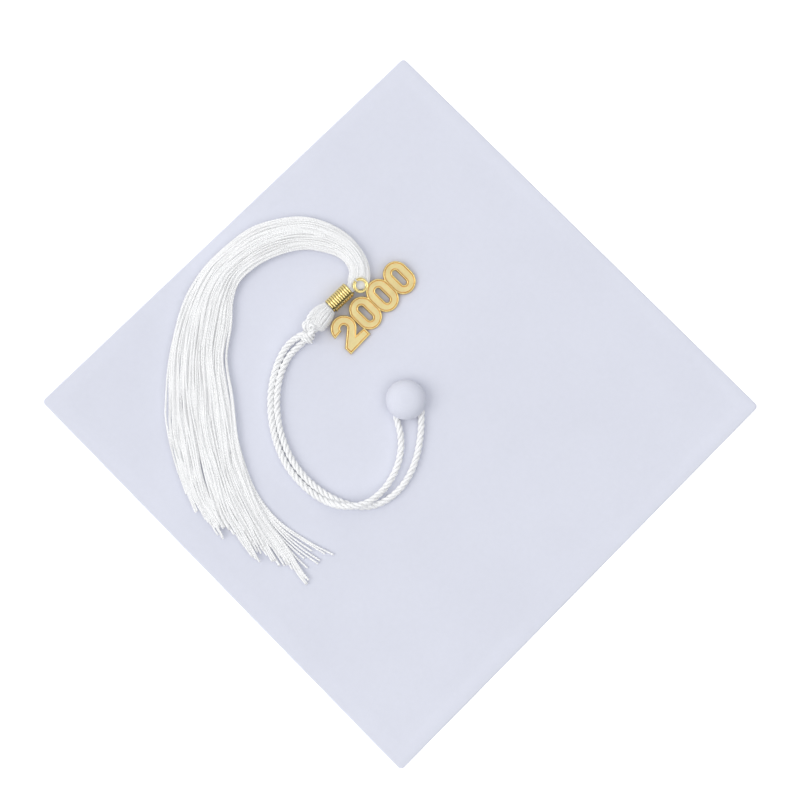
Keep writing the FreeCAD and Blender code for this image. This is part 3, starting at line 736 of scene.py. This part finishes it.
def strand_paths():
    """Centre lines and radii of the fringe's strands, each with its place across the fringe."""
    edges = np.array(FRINGE_EDGES)
    golden = math.pi * (3 - math.sqrt(5))
    lock_at = np.sort(rng.uniform(-1, 1, LOCKS) * 0.06 + np.linspace(-0.93, 0.93, LOCKS))
    lock_end = rng.uniform(-0.5, 0.3, LOCKS)
    lines = []
    for i in range(STRANDS):
        spread = math.sqrt((i + 0.5) / STRANDS)
        a, b = spread * math.cos(i * golden), spread * math.sin(i * golden)
        lock = int(np.argmin(abs(lock_at - a)))
        end = fringe_end((a + 1) / 2) + lock_end[lock] + rng.uniform(-0.55, 0.3)
        t = np.linspace(0, end, EDGE_RINGS if abs(a) > EDGE_FROM else STRAND_RINGS)
        outer = spline(edges[:, :2], t)
        inner = spline(edges[:, 2:4], t)
        height = spline(edges[:, 4:5], t)[:, 0]

        free = np.clip(t - 1.5, 0, 1)
        loose = np.clip((t - 8) / 12, 0, 1)
        side = a + (lock_at[lock] - a) * 0.12 * loose**2
        side = side + flow(a, t) * free * (0.4 + 0.8 * loose)
        side = side + wander(t, (0.008, 0.014, 0.03), (2.3, 4.1, 9.0)) * free * (0.4 + 1.4 * loose)
        side = np.clip(side, -1.04, 1.04)
        depth = b + wander(t, (0.12, 0.16), (2.7, 6.1)) * free
        depth = np.clip(depth, -1, 1) * np.sqrt(np.clip(1.1 - side**2, 0.04, 1))

        sizes = np.array([0.20, 0.26, 0.34, 0.41, 0.45, 0.48, 0.49]) * MM
        radius = np.interp(t, [0, MOUTH, 2, 4, 9, 13, 21], sizes) * rng.uniform(0.92, 1.1)
        share = ((side + 1) / 2)[:, None]
        flat = inner * (1 - share) + outer * share
        settled = TASSEL_Z + height / 2
        falling = np.interp(t, [MOUTH, 3], [BAND_START[2], settled[-1]])
        falling = falling + (settled - settled[-1]) * np.interp(t, [MOUTH, 3], [0, 1])
        z = np.where(t < 3, falling, settled) + depth * (height / 2 - radius * 0.8)
        z = np.maximum(z, TASSEL_Z + radius * 0.9)
        path = clear_of_eye(np.column_stack([flat, z]), radius)
        if abs(a) > EDGE_FROM:
            beads = np.sin(2 * math.pi * arc_lengths(path) / BEAD_L)
            radius = radius * (1 + BEAD_SWELL * beads * free)
        lines.append((a, path, radius))
    return lines


# Where the loosest strand lies, and where the fringe's inner edge does, from inside the fringe to the end
STRAY_FAR = [
    (-0.0840, 0.0100), (-0.0806, -0.0060), (-0.0762, -0.0230), (-0.0706, -0.0385), (-0.0640, -0.0492),
    (-0.0560, -0.0575), (-0.0450, -0.0644), (-0.0318, -0.0714),
]
STRAY_NEAR = [
    (-0.0838, 0.0100), (-0.0812, -0.0060), (-0.0774, -0.0230), (-0.0730, -0.0385), (-0.0680, -0.0495),
    (-0.0615, -0.0600), (-0.0530, -0.0710), (-0.0440, -0.0800),
]
STRAYS = [(0.0, 7.0), (0.13, 6.8), (0.30, 6.45), (0.44, 6.9), (0.58, 6.95), (0.72, 6.5), (0.86, 6.85)]


def stray_paths():
    """Strands that leave the inner edge near the end and fan out on the board."""
    lines = []
    for nearness, end in STRAYS:
        t = np.linspace(0, end, STRAND_RINGS)
        share = np.clip(nearness + wander(t, (0.02, 0.02), (3.0, 5.0)), 0, 1)[:, None]
        flat = spline(STRAY_FAR, t) * (1 - share) + spline(STRAY_NEAR, t) * share
        z = TASSEL_Z + (0.55 + 0.9 * np.exp(-t) + 0.5 * np.sin(1.7 * t + 9 * nearness) ** 2) * MM
        path = np.column_stack([flat, z])
        beads = np.sin(2 * math.pi * arc_lengths(path) / BEAD_L)
        lines.append((-1.0, path, 0.46 * MM * (1 + 0.6 * BEAD_SWELL * beads)))
    return lines


def make_fringe():
    lines = strand_paths()
    low, high = -1.01, 1.01
    for part in range(FRINGE_PIECES):
        left = low + (high - low) * part / FRINGE_PIECES
        right = low + (high - low) * (part + 1) / FRINGE_PIECES
        tubes = Tubes(sides=STRAND_SIDES)
        for a, path, radius in lines + (stray_paths() if part == 0 else []):
            if left <= a < right:
                tubes.add(path, radius)
        name = f"fringe_strands_{part + 1}"
        replaced = ["tassel_fringe", "strand_bundle"] if part == 0 else []
        place(tubes.build(name, strand_rayon), "tassel", replaced)


# ---- charm -----------------------------------------------------------------------------------------

CHARM_FOOT = np.array([-0.0079, 0.0414, TASSEL_Z + 0.05 * MM])
CHARM_TURN, CHARM_TILT = math.radians(47.0), math.radians(12.0)
CHARM_T = 1.2 * MM
NUMERAL_H = 17.4 * MM
ZERO_W, COUNTER_W, COUNTER_H = 12.7 * MM, 2.6 * MM, 8.6 * MM
TWO_W, TWO_STROKE = 13.6 * MM, 4.8 * MM
NUMERAL_LAP = 0.9 * MM
EYE_R, EYE_HOLE_R = 3.7 * MM, 2.2 * MM
EYE_U, EYE_V = 2.3 * MM, 19.6 * MM
TIE_R, TIE_THREAD_R, TIE_PITCH = 1.3 * MM, 0.14 * MM, 0.25 * MM

CHARM_U = np.array([math.cos(CHARM_TURN), math.sin(CHARM_TURN), 0.0])
CHARM_V = math.cos(CHARM_TILT) * np.array([-CHARM_U[1], CHARM_U[0], 0.0]) + math.sin(CHARM_TILT) * UP
CHARM_W = np.cross(CHARM_U, CHARM_V)


def on_charm(u, v, w):
    u, v, w = np.broadcast_arrays(u, v, w)
    return CHARM_FOOT + u[..., None] * CHARM_U + v[..., None] * CHARM_V + w[..., None] * CHARM_W


EYE_MARGIN = 0.3 * MM
EYE_SLOPE = 2.0  # how steeply the strands rise again around the eye


def clear_of_eye(path, radius):
    """Press a strand down where it passes under the charm's eye."""
    offset = path - CHARM_FOOT
    u, v = offset @ CHARM_U, offset @ CHARM_V
    beyond = np.hypot(u - EYE_U, v - EYE_V) - EYE_R - EYE_MARGIN
    rise = CHARM_V[2] / (CHARM_V[:2] @ CHARM_V[:2])
    plane_z = CHARM_FOOT[2] + (path[:, :2] - CHARM_FOOT[:2]) @ CHARM_V[:2] * rise
    limit = plane_z - EYE_MARGIN - radius + np.maximum(beyond, 0) * EYE_SLOPE
    pressed = path.copy()
    pressed[:, 2] = np.maximum(np.minimum(path[:, 2], limit), TASSEL_Z + radius)
    return pressed


def arc(centre_u, centre_v, radius, start, end, count):
    angle = np.radians(np.linspace(start, end, count))
    return np.column_stack([centre_u + radius * np.cos(angle), centre_v + radius * np.sin(angle)])


def stadium(centre_u, width, height, count=26):
    """An upright outline with straight sides and round ends, counter-clockwise."""
    r = width / 2
    middle = NUMERAL_H / 2
    top = arc(centre_u, middle + height / 2 - r, r, 0, 180, count)
    bottom = arc(centre_u, middle - height / 2 + r, r, 180, 360, count)
    return np.concatenate([top, bottom])


BOWL_R, BOWL_ASIDE = 6.4 * MM, 0.8 * MM
FOOT_H, FOOT_JOIN, HEEL_H = 4.6 * MM, 8.3 * MM, 4.0 * MM


def two_outline(left):
    """A plain two with a wide foot, counter-clockwise from its lower left corner."""
    cu, cv = left + TWO_W - BOWL_R - BOWL_ASIDE, NUMERAL_H - BOWL_R
    return np.concatenate([
        [(left, 0.0), (left + TWO_W, 0.0), (left + TWO_W, FOOT_H), (left + FOOT_JOIN, FOOT_H)],
        [(cu + BOWL_R * 0.80, cv - BOWL_R * 0.60)],
        arc(cu, cv, BOWL_R, -28, 184, 40),
        arc(cu, cv, BOWL_R - TWO_STROKE, 184, -30, 22),
        [(left, HEEL_H)],
    ])


def inset(outline, distance):
    """Draw a counter-clockwise outline in by a distance, corner by corner."""
    before, after = np.roll(outline, 1, 0), np.roll(outline, -1, 0)
    d1, d2 = unit(outline - before), unit(after - outline)
    n1, n2 = np.column_stack([-d1[:, 1], d1[:, 0]]), np.column_stack([-d2[:, 1], d2[:, 0]])
    total = n1 + n2
    return outline + total * (2 * distance / np.maximum((total**2).sum(1), 0.9))[:, None]


# The rim's profile: distance in from the outline, height, and whether the face before it is painted darker,
# as shade
RIM_PROFILE = [
    (0.00, 0.00, False), (0.00, 0.72, True), (0.18, 0.98, True), (0.26, 1.12, False), (0.38, 1.19, False),
    (0.54, 1.19, False), (0.66, 1.12, False), (0.74, 0.98, False), (0.88, 0.70, True), (1.02, 0.66, True),
    (1.10, 0.80, True),
]

# The eye is a ring whose two edges stand up from a shallow groove: distance in, and height, in mm
EYE_PROFILE = [
    (0.0, 0.0), (0.0, 0.9), (0.1, 1.1), (0.3, 1.18), (0.5, 1.1), (0.6, 0.95),
    (0.9, 0.95), (1.0, 1.1), (1.2, 1.18), (1.4, 1.1), (1.5, 0.9), (1.5, 0.0),
]


def profile_rings(outline, direction):
    return np.array([
        on_charm(*inset(outline, direction * d * MM).T, h * MM) for d, h, _ in RIM_PROFILE
    ])


RIM, RECESS, SHADED_WALL = range(3)  # the charm's materials


def join_rings(shape, low, high, material=RIM):
    for k in range(len(low)):
        n = (k + 1) % len(low)
        shape.faces.new([low[k], low[n], high[n], high[k]]).material_index = material


def add_figure(shape, outlines):
    """Add one closed figure to a bmesh, from its outline and that of its counter, if it has one."""
    fronts, backs = [], []
    for i, outline in enumerate(outlines):
        rings = profile_rings(outline, 1 if i == 0 else -1)
        made = [[shape.verts.new(p) for p in ring] for ring in rings]
        for low, high, (_, _, groove) in zip(made, made[1:], RIM_PROFILE[1:]):
            # Walls and the groove take the darker gold of painted shade.
            join_rings(shape, low, high, SHADED_WALL if groove else RIM)
        fronts.append(made[-1])
        backs.append(made[0])
    for loops, index in ((fronts, RECESS), (backs, RIM)):
        edges = []
        for loop in loops:
            edges += [shape.edges.get([a, b]) for a, b in zip(loop, loop[1:] + loop[:1])]
        filled = bmesh.ops.triangle_fill(shape, edges=edges, use_beauty=True)
        for item in filled["geom"]:
            if isinstance(item, bmesh.types.BMFace):
                item.material_index = index


def make_charm():
    shape = bmesh.new()
    width = TWO_W + 3 * ZERO_W - 3 * NUMERAL_LAP
    left = -width / 2
    add_figure(shape, [two_outline(left)])
    for i in range(3):
        centre = left + TWO_W - NUMERAL_LAP + ZERO_W / 2 + i * (ZERO_W - NUMERAL_LAP)
        add_figure(shape, [stadium(centre, ZERO_W, NUMERAL_H), stadium(centre, COUNTER_W, COUNTER_H)])

    angle = np.linspace(0, 2 * math.pi, 56, endpoint=False)
    made = []
    for d, w in EYE_PROFILE:
        r = EYE_R - d * MM
        points = on_charm(EYE_U + r * np.cos(angle), EYE_V + r * np.sin(angle), w * MM)
        made.append([shape.verts.new(p) for p in points])
    for low, high in zip(made, made[1:] + made[:1]):
        join_rings(shape, low, high)

    bmesh.ops.recalc_face_normals(shape, faces=shape.faces)
    for face in shape.faces:
        face.smooth = True
    mesh = bpy.data.meshes.new("year_charm")
    shape.to_mesh(mesh)
    shape.free()
    for material in (gold_rim, gold_stipple, gold_shaded_wall):
        mesh.materials.append(material)
    mesh.set_sharp_from_angle(angle=math.radians(40))
    charm = bpy.data.objects.new("year_charm", mesh)
    bpy.context.scene.collection.objects.link(charm)
    place(charm, "charm", ["charm"])

    # Thread that ties the eye to the strands
    hinge = on_charm(EYE_U, EYE_V + (EYE_R + EYE_HOLE_R) / 2, CHARM_T / 2)
    a = np.linspace(0, 4 * math.pi, 72)
    tie = hinge + np.outer(np.cos(a) * TIE_R, CHARM_V) + np.outer(np.sin(a) * TIE_R, CHARM_W)
    tie += np.outer((a / (4 * math.pi) - 0.5) * 2 * TIE_PITCH, CHARM_U)
    tubes = Tubes(sides=7)
    tubes.add(tie, TIE_THREAD_R, lean=CHARM_U)
    place(tubes.build("charm_thread", thread), "tassel", ["charm_tie"])


# ---- board's covers --------------------------------------------------------------------------------

EDGE_R = 0.9 * MM  # rounding of the cloth over the board's edge
SIDE_POINTS, CORNER_POINTS = 60, 9
# How far the rings of the board's flat face are drawn in from its outline, in mm
COVER_INSETS = [1.4, 2.2, 3.4, 5.0, 7.0, 9.0, 11.5, *np.linspace(15, 116, 27)]


def rounded_square(inset_by):
    """The board's outline drawn in by a distance, with its corners on the axes."""
    half = BOARD_HALF - inset_by
    r = max(CORNER_R - inset_by, 0.05 * MM)
    quarter = []
    for k in range(4):
        turn = math.radians(45 + 90 * k)
        corner = arc(half - r, half - r, r, 0, 90, CORNER_POINTS)
        run = np.linspace(half - r, -(half - r), SIDE_POINTS + 2)[1:-1]
        side = np.column_stack([run, np.full(SIDE_POINTS, half)])
        piece = np.concatenate([corner, side])
        c, s = math.cos(turn - math.radians(90)), math.sin(turn - math.radians(90))
        quarter.append(piece @ np.array([[c, s], [-s, c]]))
    return np.concatenate(quarter)


def lie(x, y):
    """How the cloth stands off the board: faint waves, and the turned-in seam allowance as a low ridge."""
    edge = BOARD_HALF - np.maximum(abs(x + y), abs(x - y)) / math.sqrt(2)
    waves = 0.05 * np.sin(31 * x + 17 * y) * np.sin(23 * y - 11 * x + 1.0)
    waves = waves + 0.03 * np.sin(71 * x - 43 * y + 2.0)
    ridge = 0.10 / (1 + np.exp((edge / MM - 8.0) * 1.6))
    return (waves * np.clip(edge / (6 * MM), 0, 1) + ridge) * MM


def cover_rings(flat_z, sign, hole_r):
    """Rings of points over one face of the board, from the seam round the edge and in to the middle."""
    profile = [(0.0, abs(flat_z - SEAM_Z)), (0.0, 1.1 * MM)]
    for a in np.radians((15, 35, 55, 75, 90)):
        profile.append((EDGE_R * (1 - math.cos(a)), EDGE_R * (1 - math.sin(a))))
    rings = []
    for d, drop in profile:
        outline = rounded_square(d)
        rings.append(np.column_stack([outline, np.full(len(outline), flat_z - sign * drop)]))
    heading = np.arctan2(rings[0][:, 1], rings[0][:, 0])
    circle = BUTTON[:2] + hole_r * np.column_stack([np.cos(heading), np.sin(heading)])
    for d in np.array(COVER_INSETS) * MM:
        outline = rounded_square(d)
        centre_share = np.clip((d - 70 * MM) / (50 * MM), 0, 1) ** 2
        outline = outline * (1 - centre_share) + circle * centre_share
        z = flat_z + sign * (lie(outline[:, 0], outline[:, 1]) * np.clip((d - EDGE_R) / (2.5 * MM), 0, 1))
        rings.append(np.column_stack([outline, z]))
    rings.append(np.column_stack([circle, np.full(len(circle), flat_z)]))
    return np.array(rings)


def make_covers():
    for name, node, flat_z, sign, hole_r in (
        ("top_cloth", "top_cover", BOARD_TOP, 1, 1.6 * MM),
        ("under_cloth", "bottom_cover", BOARD_LOW, -1, 0.5 * MM),
    ):
        outer = cover_rings(flat_z, sign, hole_r)
        rows = len(outer)
        inner = outer.copy()
        shrink = (BOARD_HALF - COVER_T) / BOARD_HALF
        inner[:, :, :2] = outer[:, :, :2] * np.where(np.arange(rows) < 8, shrink, 1.0)[:, None, None]
        inner[:, :, 2] -= sign * COVER_T * np.clip(np.arange(rows) / 6, 0, 1)[:, None]
        points, faces = closed_sheet(outer, inner, wrap=True)
        uvs = points[:, :2] / MM
        cover = place(add_mesh(name, points, faces, cover_cloth, uvs), "cap", [node])


# ---- button ----------------------------------------------------------------------------------------

# Half of the button's outline over its underside: radius and height, in mm
BUTTON_FORM = [
    (0.0, 6.20), (1.6, 6.16), (3.2, 6.00), (4.8, 5.64), (6.4, 5.00), (7.8, 4.00), (8.9, 2.60), (9.5, 1.30),
    (9.6, 0.50), (9.3, 0.10), (8.6, 0.0), (7.4, 0.0),
]
PUCKERS, PUCKER_DEPTH = 26, 0.10 * MM
BUTTON_CLOTH_T = 0.38 * MM


def button_surface(grow, rows, columns):
    form = spline(BUTTON_FORM, np.linspace(0, len(BUTTON_FORM) - 1, rows)) * MM
    heading = unit(np.gradient(form, axis=0))
    normal = np.column_stack([-heading[:, 1], heading[:, 0]])
    form = form + grow * normal
    angle = np.linspace(0, 2 * math.pi, columns, endpoint=False)
    rim = np.clip((np.arange(rows) / rows - 0.62) / 0.3, 0, 1)[:, None]
    fold = PUCKER_DEPTH * rim * np.sin(PUCKERS * angle + 2.0 * np.sin(3 * angle))[None]
    r = np.maximum(form[:, :1], 0.02 * MM) - fold
    x, y = r * np.cos(angle), r * np.sin(angle)
    z = form[:, 1:] + 0.4 * (PUCKER_DEPTH * rim - fold)
    return BUTTON + np.stack([x, y, z], -1)


def make_button():
    rows, columns = 44, 156
    outer = button_surface(0.0, rows, columns)
    inner = button_surface(-BUTTON_CLOTH_T, rows, columns)
    points, faces = closed_sheet(outer, inner, wrap=True)
    button = add_mesh("button_cloth", points, faces, button_cloth, (points[:, :2] - BUTTON[:2]) / MM)
    button.data.set_sharp_from_angle(angle=math.radians(70))
    place(button, "cap", ["button_cover"])


# ---- skull cap -------------------------------------------------------------------------------------

RIM_HALF = np.array([81.0, 99.0]) * MM
CROWN_HALF = np.array([66.0, 80.0]) * MM
EAR_RISE = 28.0 * MM
ARCH_JOIN = 24.5 * MM

# The wall's layers: how far in from the outside each starts, and its thickness
PANEL_T = 0.9 * MM
LINING_IN, LINING_T = 1.0 * MM, 0.7 * MM
SWEATBAND_IN, SWEATBAND_T, SWEATBAND_H = 1.8 * MM, 0.6 * MM, 23.0 * MM
LINING_RISE = 1.0 * MM  # how far above the rim the inner layers start


def through(x, points):
    """The parabola through three points, at x."""
    (x0, y0), (x1, y1), (x2, y2) = points
    first = y0 * (x - x1) * (x - x2) / ((x0 - x1) * (x0 - x2))
    second = y1 * (x - x0) * (x - x2) / ((x1 - x0) * (x1 - x2))
    return first + second + y2 * (x - x0) * (x - x1) / ((x2 - x0) * (x2 - x1))


# The rim's line in plan, as (x or y, height): from the front point to the ear, over it, and down behind it
FRONT_RIM = [(3.0 * MM, 0.0), (36.0 * MM, 0.52 * ARCH_JOIN), (67.0 * MM, ARCH_JOIN)]
EAR_RIM = [(-45.0 * MM, ARCH_JOIN), (-2.0 * MM, EAR_RISE), (38.0 * MM, 0.52 * EAR_RISE)]
HEEL_RIM = [(38.0 * MM, 0.52 * EAR_RISE), (54.0 * MM, 4.5 * MM), (68.0 * MM, 0.0)]


def rim_line(x, y):
    """Height of the rim: a point in front, arches over the ears, and flat at the back."""
    ahead = abs(x)
    front = np.where(ahead < FRONT_RIM[0][0], 0.0, through(ahead, FRONT_RIM))
    front = np.where(ahead > FRONT_RIM[2][0], ARCH_JOIN, front)
    behind = np.where(y < HEEL_RIM[2][0], through(y, HEEL_RIM), 0.0)
    back = np.where(y < EAR_RIM[2][0], through(y, EAR_RIM), behind)
    return np.where(y < EAR_RIM[0][0], front, back)


def skull_point(angle, z, depth):
    """A point of the skull cap's wall, depth in from its outside; angle 0 is the front."""
    share = (z / BOARD_LOW)[..., None]
    half = RIM_HALF * (1 - share) + CROWN_HALF * share - np.asarray(depth)[..., None]
    return np.stack([half[..., 0] * np.sin(angle), -half[..., 1] * np.cos(angle), z], -1)


def rim_height(angle, rise):
    z = np.zeros_like(angle)
    for _ in range(8):
        p = skull_point(angle, z, np.zeros_like(angle))
        z = rim_line(p[..., 0], p[..., 1]) + rise
    return z


GATHERS = 45  # folds that the elastic would draw all the way round


def wrinkles(angle, share):
    """How far the soft wall stands out or in: slack folds, and gathers at the back from the elastic."""
    soft = 0.55 * np.sin(9 * angle + 1.3 * np.sin(2 * angle)) * np.sin(math.pi * share)
    soft = soft + 0.38 * np.sin(23 * angle + 4 * share) * np.sin(math.pi * share) ** 2
    soft = soft + 0.7 * np.sin(3 * angle + 2.2 * share) * np.sin(math.pi * share)
    fade = np.exp(-(((1 + np.cos(angle)) / 0.12) ** 2) - (share / 0.28) ** 2)
    return (soft + 0.75 * np.sin(GATHERS * angle) * fade) * MM


def wall(depth, thickness, rows, angles, low_rise, height=None):
    """Outer and inner points of one layer of the wall over a range of angles."""
    columns = len(angles)
    foot = rim_height(angles, low_rise)
    top = np.full(columns, BOARD_LOW) if height is None else foot + height
    share = np.linspace(0, 1, rows)[:, None]
    z = foot * (1 - share) + top * share
    angle = np.broadcast_to(angles, z.shape)
    shift = wrinkles(angle, z / BOARD_LOW)
    return skull_point(angle, z, depth - shift), skull_point(angle, z, depth + thickness - shift)


def add_wall(name, material, outer, inner, wrap=False):
    points, faces = closed_sheet(outer, inner, wrap)
    run = arc_lengths(outer)[..., None]
    rise = np.broadcast_to(outer[..., 2:], run.shape)
    uv = np.concatenate([run, rise], -1).reshape(-1, 2) / MM
    return add_mesh(name, points, faces, material, np.concatenate([uv, uv]))


def stitches(tubes, line, outward, length=2.4 * MM, gap=0.7 * MM, radius=0.19 * MM):
    """A row of stitches along a line, each dipping into the cloth at both ends."""
    reach = arc_lengths(line)
    starts = np.arange(0, reach[-1] - length, length + gap)
    for start in starts:
        at = start + np.linspace(0, length, 6)
        path = np.column_stack([np.interp(at, reach, line[:, k]) for k in range(3)])
        out = np.column_stack([np.interp(at, reach, outward[:, k]) for k in range(3)])
        dip = np.array([-0.22, 0.02, 0.10, 0.10, 0.02, -0.22]) * MM
        tubes.add(path + out * dip[:, None], radius, lean=out)


def skull_normal(angle):
    half = (RIM_HALF + CROWN_HALF) / 2
    flat = np.column_stack([np.sin(angle) / half[0], -np.cos(angle) / half[1], np.full(len(angle), 2.0)])
    return unit(flat)


def make_skull():
    for side, sign in (("left", 1), ("right", -1)):
        angles = sign * np.linspace(0, math.pi, 260)
        outer, inner = wall(0.0, PANEL_T, 26, angles, 0.0)
        panel = add_wall(f"skull_panel_{side}", skull_cloth, outer, inner)
        place(panel, "cap", [f"skull_{side}"])
    for side, sign in (("left", 1), ("right", -1)):
        angles = sign * np.linspace(0.004, 1 - 0.004, 240) * math.pi
        outer, inner = wall(LINING_IN, LINING_T, 20, angles, LINING_RISE)
        lining = add_wall(f"interlining_{side}", interlining, outer, inner)
        place(lining, "cap", [f"stiffener_{side}"])

    angles = np.linspace(0, 2 * math.pi, 520, endpoint=False)
    outer, inner = wall(SWEATBAND_IN, SWEATBAND_T, 12, angles, LINING_RISE, SWEATBAND_H)
    band = add_wall("sweatband_cloth", band_cloth, outer, inner, wrap=True)
    place(band, "cap", ["sweatband"])

    for name, node, material, slot, start, thick, low, high, half_x, ripple in (
        ("elastic_strip", "back_elastic", elastic_knit, "elastic", 2.5, 0.8, 3.0, 13.0, 42.0, 0.0),
        ("gathered_casing", "elastic_casing", band_cloth, "cover_cloth", 3.4, 0.5, 1.0, 15.0, 44.0, 0.28),
    ):
        reach = math.asin(half_x * MM / RIM_HALF[0])
        angles = np.linspace(math.pi - reach, math.pi + reach, 260)
        share = np.linspace(0, 1, 12)[:, None]
        z = (low + (high - low) * share) * MM * np.ones_like(angles)
        angle = np.broadcast_to(angles, z.shape)
        fold = ripple * MM * np.sin(angle * 190 + 1.5 * np.sin(angle * 31)) * np.sin(math.pi * share) ** 0.5
        wave = wrinkles(angle, z / BOARD_LOW)
        outer = skull_point(angle, z, start * MM - wave - fold)
        inner = skull_point(angle, z, (start + thick) * MM - wave - fold)
        strip = place(add_wall(name, material, outer, inner), "cap", [node])

    make_crown_tape()
    make_stitching()


TAPE_INSET, TAPE_W, TAPE_T = 1.8 * MM, 10.0 * MM, 0.75 * MM


def make_crown_tape():
    angles = np.linspace(0, 2 * math.pi, 240, endpoint=False)
    rings = []
    for share in np.linspace(0, 1, 7):
        half_x, half_y = CROWN_HALF - TAPE_INSET - TAPE_W * share
        z = BOARD_LOW - TAPE_T + 0.12 * MM * np.sin(24 * angles + 3 * share)
        rings.append(np.column_stack([half_x * np.sin(angles), -half_y * np.cos(angles), z]))
    lower = np.array(rings)
    upper = lower.copy()
    upper[:, :, 2] = BOARD_LOW - 0.02 * MM
    points, faces = closed_sheet(lower, upper, wrap=True)
    tape = add_mesh("crown_tape_cloth", points, faces, tape_cloth, points[:, :2] / MM)
    place(tape, "cap", ["crown_tape"])


def make_stitching():
    """Rows of stitches round the rim, beside the centre seams, and round the sweatband's upper edge inside.
    """
    tubes = Tubes(sides=5)
    angles = np.linspace(0, 2 * math.pi, 1400)
    for rise, depth in ((4.0 * MM, -0.02 * MM), (6.0 * MM, -0.02 * MM)):
        z = rim_height(angles, rise)
        line = skull_point(angles, z, depth - wrinkles(angles, z / BOARD_LOW))
        stitches(tubes, line, skull_normal(angles))
    for middle in (0.0, math.pi):
        for aside in (-0.035, 0.035):
            z = np.linspace(rim_height(np.array([middle + aside]), 6.5 * MM)[0], BOARD_LOW - 1.5 * MM, 60)
            angle = np.full_like(z, middle + aside)
            line = skull_point(angle, z, -0.02 * MM - wrinkles(angle, z / BOARD_LOW))
            stitches(tubes, line, skull_normal(angle))
    place(tubes.build("outer_stitching", thread), "cap")

    tubes = Tubes(sides=5)
    z = rim_height(angles, 22.0 * MM)
    line = skull_point(angles, z, 2.42 * MM - wrinkles(angles, z / BOARD_LOW))
    stitches(tubes, line, -skull_normal(angles))
    place(tubes.build("band_stitching", thread), "cap")


# ---- the rest of the CAD pieces --------------------------------------------------------------------

def finish_cad_pieces():
    metal, grey = metal_material(), board_material()
    for node, material in (
        ("board_core", grey), ("button_shell", metal), ("button_back", metal), ("button_shank", metal),
        ("shank_washer", metal),
    ):
        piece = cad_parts[node]
        piece.data.materials.clear()
        piece.data.materials.append(material)


add_studio()
make_cord()
make_head()
make_band()
make_fringe()
make_charm()
make_covers()
make_button()
make_skull()
finish_cad_pieces()
